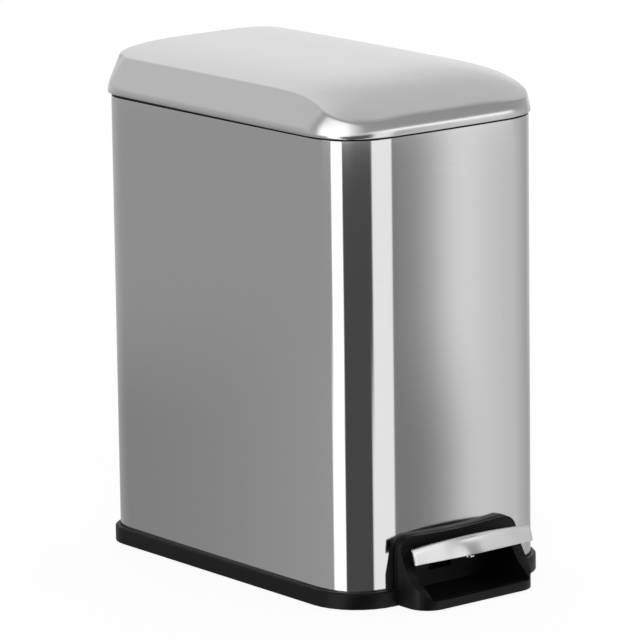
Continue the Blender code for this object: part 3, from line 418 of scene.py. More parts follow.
# Steel: how much wider the wide lines are, how far tone and roughness swing, and the waves' grain per metre
WIDE_LINES = 6
STEEL_SWING = 0.008
STEEL_ROUGHNESS_SWING = 0.06
WAVE_GRAIN = 26.0
# Plastic: how far tone and roughness swing, and the grain of its clouds per metre
PLASTIC_SWING = 0.15
PLASTIC_ROUGHNESS_SWING = 0.07
CLOUD_GRAIN = 40.0


class Finish(Tree):
    """A node material in the making."""

    def __init__(self, name):
        self.material = bpy.data.materials.new(name)
        self.material.use_nodes = True
        super().__init__(self.material.node_tree)
        self.shader = self.tree.nodes["Principled BSDF"]
        self.place = self.node("ShaderNodeTexCoord").outputs["Object"]

    def coat(self, **looks):
        """Feeds the shader's own sockets."""
        for socket, value in looks.items():
            self.feed(value, self.shader.inputs[socket.replace("_", " ")])

    def show(self, shader):
        """Shows another shader instead."""
        self.feed(shader, self.tree.nodes["Material Output"].inputs["Surface"])

    def noise(self, stretch, detail):
        """Noise on object coordinates, its grain per metre along each axis."""
        grain = self.node("ShaderNodeMapping", {"Vector": self.place, "Scale": stretch}).outputs["Vector"]
        feeds = {"Vector": grain, "Scale": 1.0, "Detail": detail}
        return self.node("ShaderNodeTexNoise", feeds).outputs["Fac"]

    def vary(self, noise, tone, tone_swing, roughness, roughness_swing):
        """Tone and roughness that swing with a noise."""
        greys = [(*(tone + swing,) * 3, 1) for swing in (-tone_swing, tone_swing)]
        rough = [roughness * (1 + swing) for swing in (-roughness_swing, roughness_swing)]
        self.coat(
            Base_Color=self.blend(self.between(noise, *NOISE_REACH), *greys),
            Roughness=self.between(noise, *NOISE_REACH, *rough),
        )

    def relief(self, height, depth, under=None):
        """Small bumps, over others where there are any."""
        bump = self.node("ShaderNodeBump", {"Distance": depth, "Height": height})
        if under:
            self.feed(under, bump.inputs["Normal"])
        self.coat(Normal=bump.outputs["Normal"])
        return bump.outputs["Normal"]


def brushed_steel(name, stretch, tone, roughness, anisotropy=0.0, turn=0.0, depth=0.0000006, waves=0.0):
    """Satin steel with fine brushed lines: short across the lines, long along them."""
    made = Finish(name)
    fine = made.noise(stretch, 2.0)
    wide = made.noise([value / WIDE_LINES for value in stretch], 3.0)
    lines = made.times(made.math("ADD", fine, wide), 0.5)
    made.vary(lines, tone, STEEL_SWING, roughness, STEEL_ROUGHNESS_SWING)
    dents = made.relief(made.noise((WAVE_GRAIN,) * 3, 1.0), waves) if waves else None
    made.relief(lines, depth, dents)
    tangent = made.node("ShaderNodeTangent", direction_type="RADIAL", axis="Z").outputs["Tangent"]
    made.coat(Metallic=1.0, Anisotropic=anisotropy, Anisotropic_Rotation=turn, Tangent=tangent)
    return made.material


def moulded_plastic(name, tone, roughness, grain, depth, sheen):
    """Black moulded plastic with a fine spark-eroded grain."""
    made = Finish(name)
    fine = made.noise((grain,) * 3, 2.0)
    cloud = made.noise((CLOUD_GRAIN,) * 3, 3.0)
    made.vary(cloud, tone, tone * PLASTIC_SWING, roughness, PLASTIC_ROUGHNESS_SWING)
    made.coat(Specular_IOR_Level=sheen)
    made.relief(fine, depth)
    return made.material


BODY_STEEL = brushed_steel("body_brushed_steel", (5.0, 5.0, 2200.0), 0.66, 0.08, 0.85, 0.25)
LID_STEEL = brushed_steel("lid_brushed_steel", (1800.0, 6.0, 1800.0), 0.66, 0.2)
PEDAL_STEEL = brushed_steel("pedal_brushed_steel", (9.0, 1800.0, 1800.0), 0.68, 0.16, waves=0.003)
ZINC = brushed_steel("bright_zinc_steel", (300.0, 300.0, 300.0), 0.68, 0.26, depth=0.000004)
BLACK = moulded_plastic("black_moulded_plastic", 0.0035, 0.4, 2200.0, 0.000012, 0.2)
BUCKET_BLACK = moulded_plastic("bucket_grained_plastic", 0.02, 0.5, 1500.0, 0.00003, 0.4)
RUBBER = moulded_plastic("matt_rubber", 0.012, 0.8, 1800.0, 0.00003, 0.2)

BY_SLOT = {
    "brushed_steel": BODY_STEEL,
    "black_plastic": BLACK,
    "bucket_plastic": BUCKET_BLACK,
    "bright_steel": ZINC,
    "rubber": RUBBER,
}
SLOTS = {row["node"]: row["material_slot"] for row in frame["record"]["subparts"]}


def dress_frame():
    """Each CAD node takes the finish of its slot."""
    for node, slot in SLOTS.items():
        mesh = NODES[node].data
        mesh.materials.clear()
        mesh.materials.append(BY_SLOT[slot])


def soften(node, name, body, width, segments=3, move=None):
    """A copy of a CAD piece with its edges rounded, as moulded; move may shift its points first."""
    bm = bmesh.new()
    bm.from_mesh(NODES[node].data)
    bm.transform(NODES[node].matrix_world)
    bmesh.ops.remove_doubles(bm, verts=bm.verts, dist=SAME_POINT)
    bmesh.ops.dissolve_limit(bm, angle_limit=FLAT_WITHIN, verts=bm.verts, edges=bm.edges)
    if move:
        for point in bm.verts:
            point.co = move(point.co)
    piece = add_mesh(name, bm, BY_SLOT[SLOTS[node]])
    round_edges(piece, width, segments, MOULDED_EDGE, harden=True)
    finish_piece(piece, body, SLOTS[node], node)


# Body sheet

NOTCH_HALF = 0.038
NOTCH_TOP = 0.0361
HEM = SHEET / 3


def sheet_pattern():
    """A bent sheet: its section, rounded at the hem, carried round the plan."""
    made = Pattern("bent_sheet", "Sheet Thickness", "Sheet Height", "Foot Height", "Hem Radius")
    path = made.node("GeometryNodeMeshToCurve", {"Mesh": made.seeds}).outputs[0]
    level = made.node("GeometryNodeSetCurveNormal", {"Curve": path}, mode="Z_UP").outputs[0]
    section = made.node("GeometryNodeCurvePrimitiveQuadrilateral", {
        "Width": made.size["Sheet Thickness"], "Height": made.size["Sheet Height"],
    }).outputs[0]
    hemmed = made.node("GeometryNodeFilletCurve", {
        "Curve": section, "Count": 4, "Radius": made.size["Hem Radius"],
    }, mode="POLY").outputs[0]
    wall = made.node("GeometryNodeCurveToMesh", {"Curve": level, "Profile Curve": hemmed}).outputs[0]
    middle = made.math("MULTIPLY_ADD", made.size["Sheet Height"], 0.5, made.size["Foot Height"])
    made.close(made.shifted(wall, made.vector(z=middle)), BODY_STEEL)
    return made


def make_body_sheet():
    """The steel wall: one bent sheet with a rounded hem, notched behind the pedal's surround."""
    path = [Vector((x, y, 0)) + BIN_PLACE for x, y in ring_of(BODY_PLAN, SHEET / 2)]
    loop = [(index, (index + 1) % len(path)) for index in range(len(path))]
    sheet = grow("body_sheet", path, sheet_pattern(), {
        "Sheet Thickness": SHEET, "Sheet Height": SHEET_TOP - SHEET_FOOT, "Foot Height": SHEET_FOOT,
        "Hem Radius": HEM,
    }, loop)
    cut(sheet, cutting_block(
        (-NOTCH_HALF, FRONT - OVERRUN, -OVERRUN / 2), (NOTCH_HALF, FRONT + OVERRUN, NOTCH_TOP),
    ))
    finish_piece(shade(sheet, SHARP_OVER_HEM), "body", "brushed_steel", "outer_shell")


# Lid

LID_OVERHANG = 0.0019
LID_FRONT_OVERHANG = 0.0016
LID_GAP = 0.0015
LID_EDGE = SHEET_TOP + LID_GAP
LID_REAR_RISE = 0.0009
LID_SHEET = 0.0008
LID_FRONT_CORNER = (0.0367, 0.0328)
LID_REAR_CORNER = (0.0229, 0.0199)
LID_CURL = 0.0012
LID_HEM = -0.0006
LID_BULGE = 0.0008
LID_FRONT_BULGE = 0.0026
# The walls: how roundly they leave the edge, and the lean they settle to
SIDE_WALL = (0.0135, 36.1)
REAR_WALL = (0.0135, 17.3)
FRONT_WALL = (0.009, 38.0)
REAR_CORNER_WALL = (0.0162, 60.0)
FRONT_CORNER_WALL = (0.0044, 9.9)
# The crown: its height, how it falls to the sides, to the pedal and to the hinge
CROWN_HEIGHT = 0.0264
CROWN_MIDDLE = -0.0195
SIDE_FALL = (0.0098, 3.93)
FRONT_FALL = (0.0099, 4.6)
REAR_FALL = (0.0006, 2.8)
FRONT_SLOPE_RUN = 0.014
CREASE_ROUND = 0.0012
LUG_HALF_SPACING = 0.019
LUG_NOTCH_HALF = 0.0035
LUG_NOTCH_DEPTH = 0.0036
LUG_NOTCH_HEIGHT = 0.0095
# How often the crease's place is halved, and over how many stations on each side it is evened out
CREASE_HALVINGS = 40
CREASE_SMOOTHING = 4
# Where the lid's rings lie: across and up the curl, up the wall and over the crease, in to the crown's middle
CURL_STEPS = ((1, 0), (1 / 2, 1 / 8), (1 / 8, 1 / 2), (1 / 32, 1))
WALL_SHARES = [
    *((step / 16) ** 2 * 0.86 for step in range(17)),
    0.9, 0.935, 0.965, 0.985, 1.0, 1.015, 1.035, 1.065, 1.1, 1.15, 1.22,
]
CROWN_SHARES = (0.975, 0.94, 0.9, 0.85, 0.79, 0.72, 0.64, 0.55, 0.45, 0.34, 0.22, 0.1, 0.02)


def lean_wall(inset, shape):
    """Height of a pressed wall at an inset: round from the edge, then straight at its lean."""
    bend, lean = shape
    return math.sqrt(2 * bend * inset + (inset / math.tan(math.radians(lean))) ** 2)


def lid_wall(inset, nx, ny):
    """The wall's height over the edge, facing (nx, ny): sides, ends and corners flow into each other."""
    if ny < 0:
        end, corner, foot = FRONT_WALL, FRONT_CORNER_WALL, LID_FRONT_BULGE
    else:
        end, corner, foot = REAR_WALL, REAR_CORNER_WALL, LID_BULGE
    return (
        (lean_wall(inset, SIDE_WALL) + LID_BULGE) * nx ** 4 + (lean_wall(inset, end) + foot) * ny ** 4
        + (lean_wall(inset, corner) + LID_BULGE) * 2 * nx ** 2 * ny ** 2
    )


def crown(x, y):
    """The crown's height over the edge: highest in the middle, straight down at last to the pedal."""
    front, rear = FRONT - LID_FRONT_OVERHANG, HALF_LENGTH + LID_OVERHANG
    ahead = max(CROWN_MIDDLE - y, 0) / (CROWN_MIDDLE - front - FRONT_SLOPE_RUN)
    behind = max(y - CROWN_MIDDLE, 0) / (rear - CROWN_MIDDLE)
    across = abs(x) / (HALF_WIDTH + LID_OVERHANG)
    bent = min(ahead, 1)
    return (
        CROWN_HEIGHT - SIDE_FALL[0] * across ** SIDE_FALL[1] - REAR_FALL[0] * behind ** REAR_FALL[1]
        - FRONT_FALL[0] * (bent ** FRONT_FALL[1] + FRONT_FALL[1] * (ahead - bent))
    )


def lid_edge_z(y):
    """Height of the lid's edge, which rises to the rear."""
    return LID_EDGE + LID_REAR_RISE * (y - FRONT) / (2 * HALF_LENGTH)


def soft_low(wall, top):
    """The lower of wall and crown, over a soft crease."""
    overlap = max(CREASE_ROUND - abs(wall - top), 0) / CREASE_ROUND
    return min(wall, top) - overlap ** 2 * CREASE_ROUND / 4


def crease_inset(point, normal):
    """How far in from the outline the wall reaches the crown."""
    low, high = 0.0, FRONT_CORNER[0]
    for _ in range(CREASE_HALVINGS):
        inset = (low + high) / 2
        x, y = point[0] - normal[0] * inset, point[1] - normal[1] * inset
        if lid_wall(inset, *normal) < crown(x, y):
            low = inset
        else:
            high = inset
    return low


def make_lid():
    """The pressed steel lid, from its curled edge up over the crease to the crown."""
    plan = soft_plan(
        HALF_WIDTH + LID_OVERHANG, FRONT - LID_FRONT_OVERHANG, HALF_LENGTH + LID_OVERHANG,
        LID_FRONT_CORNER, LID_REAR_CORNER, (FRONT_SWELL, SIDE_SWELL),
    )
    stations = list(zip(*plan))
    rough = [crease_inset(*station) for station in stations]
    near = range(-CREASE_SMOOTHING, CREASE_SMOOTHING + 1)
    creases = [
        sum(rough[(index + step) % len(rough)] for step in near) / len(near) for index in range(len(rough))
    ]
    rings = [
        [(x, y, lid_edge_z(y) + LID_HEM + LID_BULGE * up) for x, y in ring_of(plan, LID_CURL * across)]
        for across, up in CURL_STEPS
    ]
    for share in WALL_SHARES:
        ring = []
        for ((x, y), (nx, ny)), crease in zip(stations, creases):
            inset = crease * share
            px, py = x - nx * inset, y - ny * inset
            ring.append((px, py, lid_edge_z(py) + soft_low(lid_wall(inset, nx, ny), crown(px, py))))
        rings.append(ring)
    edge = rings[-1]
    for share in CROWN_SHARES:
        ring = []
        for x, y, _ in edge:
            px, py = x * share, CROWN_MIDDLE + (y - CROWN_MIDDLE) * share
            ring.append((px, py, lid_edge_z(py) + crown(px, py)))
        rings.append(ring)
    lid = loft("lid_pressing", rings, LID_STEEL, capped=False)
    bm = bmesh.new()
    bm.from_mesh(lid.data)
    over_edge = BIN_PLACE.z + LID_EDGE + LID_CURL
    top = [side for side in bm.edges if side.is_boundary and side.verts[0].co.z > over_edge]
    bmesh.ops.holes_fill(bm, edges=top, sides=0)
    bmesh.ops.recalc_face_normals(bm, faces=bm.faces)
    bm.to_mesh(lid.data)
    bm.free()
    highest = max(lid.data.polygons, key=lambda face: face.center.z)
    thicken(lid, LID_SHEET, -1 if highest.normal.z > 0 else 1)
    for middle in (-LUG_HALF_SPACING, LUG_HALF_SPACING):
        cut(lid, cutting_block(
            (middle - LUG_NOTCH_HALF, HALF_LENGTH - LUG_NOTCH_DEPTH, LID_EDGE - OVERRUN / 2),
            (middle + LUG_NOTCH_HALF, HALF_LENGTH + OVERRUN, LID_EDGE + LUG_NOTCH_HEIGHT),
        ))
    finish_piece(shade(lid, SHARP_PRESSED), "lid", "brushed_steel", "lid_shell")
    return lid


LINER_CLEARANCE = 0.0008
LINER_FOOT = 0.0025
LINER_SQUEEZE = 0.0026
# Over how many foot heights the squeeze comes in, and the lowest share of its height that the liner keeps
LINER_EASE = 4
LINER_LEAST = 0.1
LINER_EDGE_ROUND = 0.0004


def lid_tops(mesh, place):
    """A look-up of a lid's height from above."""
    tree = BVHTree.FromPolygons(
        [place @ point.co for point in mesh.vertices], [tuple(face.vertices) for face in mesh.polygons],
    )
    return lambda x, y: tree.ray_cast(Vector((x, y, 1)), Vector((0, 0, -1)))[0]


def make_liner(lid):
    """The black inner lid, drawn in under the pressed lid's own form."""
    shell = NODES["lid_shell"]
    old_top, new_top = lid_tops(shell.data, shell.matrix_world), lid_tops(lid.data, Matrix.Identity(4))

    def draw_in(point):
        foot = BIN_PLACE.z + lid_edge_z(point.y - BIN_PLACE.y) + LINER_FOOT
        height = point.z - foot
        if height <= 0:
            return point
        squeeze = LINER_SQUEEZE * min(height / LINER_FOOT / LINER_EASE, 1)
        x = point.x * (1 - squeeze / HALF_WIDTH)
        y = BIN_PLACE.y + (point.y - BIN_PLACE.y) * (1 - squeeze / HALF_LENGTH)
        old, new = old_top(point.x, point.y), new_top(x, y)
        share = 1.0
        if old and new:
            share = (new.z - LINER_CLEARANCE - foot) / max(old.z - foot, LINER_FOOT)
            share = min(max(share, LINER_LEAST), 1)
        return Vector((x, y, foot + height * share))

    soften("lid_liner", "inner_lid", "lid", LINER_EDGE_ROUND, 2, draw_in)


# Pedal cover

COVER_SHEET = 0.0012
COVER_LEAN = 0.0025
COVER_ROLL = 0.0007
COVER_FLANGE = 0.0006
COVER_CROWN = 0.0022
COVER_BOW = 0.001
COVER_STEP = 0.0006
COVER_SHIFT = 0.001
COVER_EDGE_ROUND = COVER_SHEET / 4
TREAD_EDGE_ROUND = 0.0005
# The soft step in the face: its middle and its reach, as shares of half the width
STEP_MIDDLE_SHARE = -0.55
STEP_REACH_SHARE = 0.25
# Steps along the pedal, up its face and round its roll, how the lean grows, and how far the roll turns
COVER_STATIONS = 48
RISE_STEPS = 8
ROLL_STEPS = 6
LEAN_POWER = 1.3
ROLL_TURN = math.radians(86)


def make_pedal_cover():
    """The steel pedal cover: a bowed, leaning face, turned back along its arched top, its edges rounded."""
    low, high = in_bin("pedal_plate")
    half = high.x
    bm = bmesh.new()
    loops = []
    for station in range(COVER_STATIONS + 1):
        share = 2 * station / COVER_STATIONS - 1
        ahead = COVER_STEP * math.tanh((share - STEP_MIDDLE_SHARE) / STEP_REACH_SHARE)
        front = low.y + COVER_BOW * share ** 2 - ahead
        top = high.z - COVER_CROWN * share ** 2
        rise = top - low.z - COVER_ROLL
        path = [
            (COVER_LEAN * (step / RISE_STEPS) ** LEAN_POWER, low.z + rise * step / RISE_STEPS)
            for step in range(RISE_STEPS + 1)
        ]
        back, height = path[-1]
        for step in range(1, ROLL_STEPS + 1):
            turn = ROLL_TURN * step / ROLL_STEPS
            path.append((back + COVER_ROLL * (1 - math.cos(turn)), height + COVER_ROLL * math.sin(turn)))
        path.append((path[-1][0] + COVER_FLANGE, path[-1][1]))
        x = half * share + COVER_SHIFT
        loops.append([bm.verts.new(Vector((x, front + run, z)) + BIN_PLACE) for run, z in path])
    for left, right in zip(loops, loops[1:]):
        for index in range(len(left) - 1):
            bm.faces.new((left[index], right[index], right[index + 1], left[index + 1]))
    cover = thicken(add_mesh("pedal_cover", bm, PEDAL_STEEL), COVER_SHEET)
    round_edges(cover, COVER_EDGE_ROUND, 2, SHARP_PRESSED)
    finish_piece(shade(cover, SHARP_PRESSED), "pedal", "brushed_steel", "pedal_plate")

    def bend_back(point):
        return point + Vector((0, COVER_STEP + COVER_BOW * (point.x / half) ** 2, 0))

    soften("pedal_pad", "pedal_tread", "pedal", TREAD_EDGE_ROUND, 2, bend_back)


# Screws, feet and the bucket's bail

SCREW_SHANK = 0.003
SCREW_HEAD = 0.0018
# Shares of the head's height: how far its rim falls, how deep the shank starts and how deep the recess goes
SCREW_DOME = 0.55
SCREW_SHANK_LAP = 0.3
RECESS_DEPTH = 1.1
SCREW_DOME_POWER = 4.0
# The recess: its length in its own widths, and its width as a share of the head
RECESS_LENGTH = 3.6
RECESS_SHARE = 1 / 7
PEDAL_SCREW_PROUD = 0.0012
# The ways a screw's head can face
UP = Matrix.Identity(4)
TO_REAR = Matrix.Rotation(math.radians(-90), 4, "X")
DOWN = Matrix.Rotation(math.radians(180), 4, "X")


def screw_pattern():
    """A pan-head screw with a cross recess on each seed point, its head up from there."""
    made = Pattern(
        "cross_screw", "Head Diameter", "Head Height", "Shank Diameter", "Shank Length", "Recess Width",
    )
    size = made.size
    radius = made.times(size["Head Diameter"], 0.5)
    disc = made.cylinder(radius, size["Head Height"], 32, along=3, inward=6)
    x, y, z = made.place()[:3]
    fall = made.math("POWER", made.math("DIVIDE", made.spread(x, y), radius), SCREW_DOME_POWER)
    upper = made.math("ADD", made.math("DIVIDE", z, size["Head Height"]), 0.5)
    deepest = made.times(size["Head Height"], -SCREW_DOME)
    drop = made.times(made.times(fall, upper), deepest)
    head = made.shifted(disc, made.vector(z=drop))
    shank = made.cylinder(made.times(size["Shank Diameter"], 0.5), size["Shank Length"], 20)
    sunk = made.math(
        "ADD", made.times(size["Shank Length"], -0.5),
        made.times(size["Head Height"], SCREW_SHANK_LAP),
    )
    whole = made.node("GeometryNodeMeshBoolean", operation="UNION", solver="EXACT")
    for piece, height in ((head, made.times(size["Head Height"], 0.5)), (shank, sunk)):
        made.feed(made.raised(piece, height), whole.inputs["Mesh 2"])
    cross = made.node(
        "GeometryNodeMeshBoolean", {"Mesh 1": whole.outputs[0]}, operation="DIFFERENCE", solver="EXACT",
    )
    long = made.times(size["Recess Width"], RECESS_LENGTH)
    deep = made.times(size["Head Height"], RECESS_DEPTH)
    for across, down in ((long, size["Recess Width"]), (size["Recess Width"], long)):
        blade = made.node("GeometryNodeMeshCube", {"Size": made.vector(across, down, deep)}).outputs["Mesh"]
        made.feed(made.raised(blade, size["Head Height"]), cross.inputs["Mesh 2"])
    made.repeat(cross.outputs[0], ZINC)
    return made


def fit_screws(name, pattern, nodes, body, turn, proud=0.0):
    """Screws where the frame has them: each head ends where its node does along the turned z, or proud."""
    back = turn.inverted()
    seeds, sizes = [], {}
    for node in nodes:
        ends = [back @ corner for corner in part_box(node)]
        low = Vector([min(pair) for pair in zip(*ends)])
        high = Vector([max(pair) for pair in zip(*ends)])
        seeds.append(((low.x + high.x) / 2, (low.y + high.y) / 2, high.z - SCREW_HEAD + proud))
        sizes = {
            "Head Diameter": high.x - low.x, "Head Height": SCREW_HEAD, "Shank Diameter": SCREW_SHANK,
            "Shank Length": high.z - low.z - SCREW_HEAD * (1 - SCREW_SHANK_LAP),
            "Recess Width": (high.x - low.x) * RECESS_SHARE,
        }
    screws = grow(name, seeds, pattern, sizes, turn=turn)
    finish_piece(shade(screws, SHARP_ROUND), body, "bright_steel", *nodes)


FOOT_GROOVE = 0.0004
FOOT_GROOVES = 3.0
FOOT_RIM_POWER = 24.0


def foot_pattern():
    """A rubber pad on each seed point, with round grooves in its tread and a rounded rim."""
    made = Pattern("grooved_pad", "Pad Diameter", "Pad Thickness", "Groove Depth", "Groove Count")
    size = made.size
    radius = made.times(size["Pad Diameter"], 0.5)
    disc = made.cylinder(radius, size["Pad Thickness"], 40, along=2, inward=18)
    x, y, z = made.place()[:3]
    share = made.math("DIVIDE", made.spread(x, y), radius)
    turns = made.times(made.times(share, size["Groove Count"]), math.pi)
    groove = made.times(made.math("POWER", made.math("SINE", turns), 2.0), size["Groove Depth"])
    rim = made.times(made.math("POWER", share, FOOT_RIM_POWER), size["Groove Depth"])
    under = made.math("LESS_THAN", z, 0.0)
    lift = made.times(made.math("ADD", groove, rim), under)
    made.repeat(made.shifted(disc, made.vector(z=lift)), RUBBER)
    return made


def make_feet():
    """The four rubber feet under the base."""
    nodes = [f"rubber_foot_{number}" for number in range(1, 5)]
    boxes = [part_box(node) for node in nodes]
    low, high = boxes[0]
    feet = grow("rubber_feet", [(a + b) / 2 for a, b in boxes], foot_pattern(), {
        "Pad Diameter": high.x - low.x, "Pad Thickness": high.z - low.z,
        "Groove Depth": FOOT_GROOVE, "Groove Count": FOOT_GROOVES,
    })
    finish_piece(shade(feet), "body", "rubber", *nodes)


def wire_pattern():
    """A round wire bent along a path."""
    made = Pattern("bent_wire", "Wire Diameter")
    path = made.node("GeometryNodeMeshToCurve", {"Mesh": made.seeds}).outputs[0]
    radius = made.times(made.size["Wire Diameter"], 0.5)
    section = made.node("GeometryNodeCurvePrimitiveCircle", {"Resolution": 16, "Radius": radius}).outputs[0]
    wire = made.node("GeometryNodeCurveToMesh", {
        "Curve": path, "Profile Curve": section, "Fill Caps": True,
    }).outputs[0]
    made.close(wire, ZINC)
    return made


BAIL_WIRE = 0.003
BAIL_BEND = 0.012
BAIL_BEND_STEPS = 16
BAIL_EYE_LENGTH = 0.0027
BAIL_EYE_BEND = 0.001


def make_bail():
    """The bail's wire, from one eye round the two bends to the other."""
    low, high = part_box("bucket_bail")
    z = (low.z + high.z) / 2
    eye_y, bar_y = low.y + BAIL_WIRE / 2, high.y - BAIL_WIRE / 2
    arm = high.x - BAIL_WIRE / 2 - BAIL_EYE_LENGTH
    path = [(high.x, eye_y), (arm + BAIL_EYE_BEND, eye_y), (arm, eye_y + BAIL_EYE_BEND)]
    for step in range(BAIL_BEND_STEPS + 1):
        turn = math.radians(90) * step / BAIL_BEND_STEPS
        path.append((arm - BAIL_BEND * (1 - math.cos(turn)), bar_y - BAIL_BEND * (1 - math.sin(turn))))
    path = [Vector((x, y, z)) for x, y in path + [(-x, y) for x, y in reversed(path)]]
    edges = [(index, index + 1) for index in range(len(path) - 1)]
    bail = grow("bail_wire", path, wire_pattern(), {"Wire Diameter": BAIL_WIRE}, edges)
    finish_piece(shade(bail, SHARP_PRESSED), "bail", "bright_steel", "bucket_bail")


def grip_pattern():
    """A sleeve along x whose surface swells into even ribs."""
    made = Pattern("ribbed_sleeve", "Sleeve Length", "Sleeve Diameter", "Rib Depth", "Rib Count")
    size = made.size
    radius = made.times(size["Sleeve Diameter"], 0.5)
    tube = made.cylinder(radius, size["Sleeve Length"], 32, along=120, inward=4)
    x, y, z = made.place()[:3]
    share = made.math("DIVIDE", z, size["Sleeve Length"])
    turns = made.times(made.times(share, size["Rib Count"]), 2 * math.pi)
    valley = made.times(made.math("SUBTRACT", 1.0, made.math("COSINE", turns)), 0.5)
    deepest = made.math("DIVIDE", size["Rib Depth"], radius)
    shrink = made.times(deepest, made.times(valley, -1.0))
    offset = made.vector(made.times(x, shrink), made.times(y, shrink))
    made.repeat(made.shifted(tube, offset), BUCKET_BLACK)
    return made


GRIP_RIB = 0.0005
GRIP_RIBS = 15.0


def make_grip():
    """The ribbed plastic sleeve on the bail."""
    low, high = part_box("bail_grip")
    turn = Matrix.Rotation(math.radians(90), 4, "Y")
    grip = grow("ribbed_grip", [turn.inverted() @ ((low + high) / 2)], grip_pattern(), {
        "Sleeve Length": high.x - low.x, "Sleeve Diameter": high.z - low.z,
        "Rib Depth": GRIP_RIB, "Rib Count": GRIP_RIBS,
    }, turn=turn)
    finish_piece(shade(grip, SHARP_ROUND), "bail", "bucket_plastic", "bail_grip")


# Studio

# Tones of the cards round the bin: degrees from the left side towards the pedal, and brightness.
# Each set stands higher than the one before: the first two face the walls, the others the lid.
CARDS_FOOT = (
    (-180, 0.5), (-128, 0.6), (-75, 0.4), (-54, 0.31), (-50, 0.33), (-47, 0.345), (-44, 0.38), (-41, 0.41),
    (-10, 0.43), (1, 0.43), (3.5, 1.7), (28.5, 1.7), (30.5, 0.085), (84.5, 0.085), (86.5, 1.15),
    (114.2, 1.15), (115.2, 0.26), (118.8, 0.26), (120, 0.29), (121.2, 0.35), (122.4, 0.46), (123.6, 0.62),
    (124.8, 0.78), (125.8, 0.84), (126.8, 0.84), (128, 0.8), (130, 0.74), (140, 0.73), (152, 0.62),
    (173, 0.5),
)
CARDS_LOW = (
    (-180, 0.6), (-128, 0.72), (-75, 0.5), (-54, 0.405), (-41, 0.405), (-10, 0.41), (4.5, 0.42), (7, 1.7),
    (29.5, 1.7), (31.5, 0.085), (87.5, 0.085), (90, 1.15), (114.2, 1.15), (115.2, 0.28), (117.6, 0.3),
    (118.8, 0.35), (119.9, 0.42), (120.9, 0.53), (122, 0.69), (123.1, 0.86), (124.1, 0.94), (125.1, 0.94),
    (126.2, 0.88), (127.3, 0.82), (128.4, 0.78), (131.5, 0.74), (140, 0.73), (152, 0.62), (164, 0.52),
    (173, 0.5),
)
CARDS_BAND = (
    (-180, 0.7), (-150, 0.95), (-110, 0.95), (-75, 0.66), (-54, 0.52), (-40, 0.52), (-29, 0.62), (-21, 0.5),
    (-14, 0.5), (-8, 1.7), (40, 1.7), (50, 1.2), (60, 0.85), (82, 0.85), (86, 1.2), (118, 1.5),
    (130, 1.5), (138, 1.2), (142, 0.5), (178, 0.5),
)
CARDS_MIDDLE = (
    (-180, 0.7), (-150, 0.93), (-110, 0.93), (-75, 0.7), (-29, 0.7), (-21, 0.42), (-14, 0.42),
    (-8, 1.6), (42, 1.6), (52, 1.2), (64, 0.8), (76, 0.42), (140, 0.4), (178, 0.5),
)
CARDS_HIGH = (
    (-180, 0.62), (-150, 0.8), (-140, 0.83), (-125, 0.9), (-108, 0.94), (-92, 0.84), (-75, 0.7), (-29, 0.68),
    (-20, 0.42), (20, 0.42), (46, 0.42), (100, 0.4), (160, 0.4),
)
CARDS_TOP = (
    (-180, 0.68), (-150, 0.7), (-125, 0.8), (-108, 0.9), (-92, 0.8), (-75, 0.68), (-20, 0.66), (40, 0.5),
    (100, 0.4), (150, 0.4), (165, 0.5),
)
# Between which heights each set takes over from the one before
CARD_SETS = (
    (CARDS_LOW, -0.05, 0.06), (CARDS_BAND, 0.178, 0.194), (CARDS_MIDDLE, 0.26, 0.32),
    (CARDS_HIGH, 0.42, 0.56), (CARDS_TOP, 0.62, 0.85),
)
CARD_STRENGTH = 2.0


def drum_finish():
    """Pale and dark cards round the bin, as the brushed steel shows them."""
    made = Finish("studio_cards")
    x, y, z = made.node("ShaderNodeSeparateXYZ", {0: made.place}).outputs
    back = made.math("SUBTRACT", y, BIN_PLACE.y)
    turn = made.math("ARCTAN2", made.times(back, -1.0), made.times(x, -1.0))
    share = made.math("MULTIPLY_ADD", turn, 0.5 / math.pi, 0.5)

    def cards(stops):
        ramp = made.node("ShaderNodeValToRGB", {"Fac": share})
        elements = ramp.color_ramp.elements
        elements.remove(elements[-1])
        for number, (angle, tone) in enumerate(stops):
            spot = (angle + 180) / 360
            stop = elements[0] if number == 0 else elements.new(spot)
            stop.position = spot
            stop.color = (*(tone / CARD_STRENGTH,) * 3, 1)
        return ramp.outputs["Color"]

    tone = cards(CARDS_FOOT)
    for stops, start, end in CARD_SETS:
        rise = made.between(z, start, end, interpolation_type="SMOOTHSTEP")
        tone = made.blend(rise, tone, cards(stops))
    made.show(made.node("ShaderNodeEmission", {"Color": tone, "Strength": CARD_STRENGTH}).outputs[0])
    made.material.cycles.emission_sampling = "NONE"
    return made.material


def make_drum():
    """The ring of cards; only the shine of the pieces sees it."""
    bm = bmesh.new()
    turns = [2 * math.pi * step / DRUM_STEPS for step in range(DRUM_STEPS)]
    ring = [(DRUM_RADIUS * math.cos(turn), BIN_PLACE.y + DRUM_RADIUS * math.sin(turn)) for turn in turns]
    loops = [[bm.verts.new((x, y, z)) for x, y in ring] for z in DRUM_LEVELS]
    for lower, upper in zip(loops, loops[1:]):
        for index in range(DRUM_STEPS):
            after = (index + 1) % DRUM_STEPS
            bm.faces.new((lower[after], lower[index], upper[index], upper[after]))
    bm.faces.new(loops[0])
    bm.faces.new(loops[-1][::-1])
    drum = add_mesh("studio_drum", bm, drum_finish())
    drum.visible_camera = False
    drum.visible_diffuse = False
    drum.visible_shadow = False
    drum.visible_transmission = False
    drum.visible_volume_scatter = False


FLOOR_RADIUS = 1.4
FLOOR_LIFT = 0.92
FLOOR_FADE = (0.3, 0.85)
FLOOR_TONE = 0.9
FLOOR_ROUGHNESS = 0.9


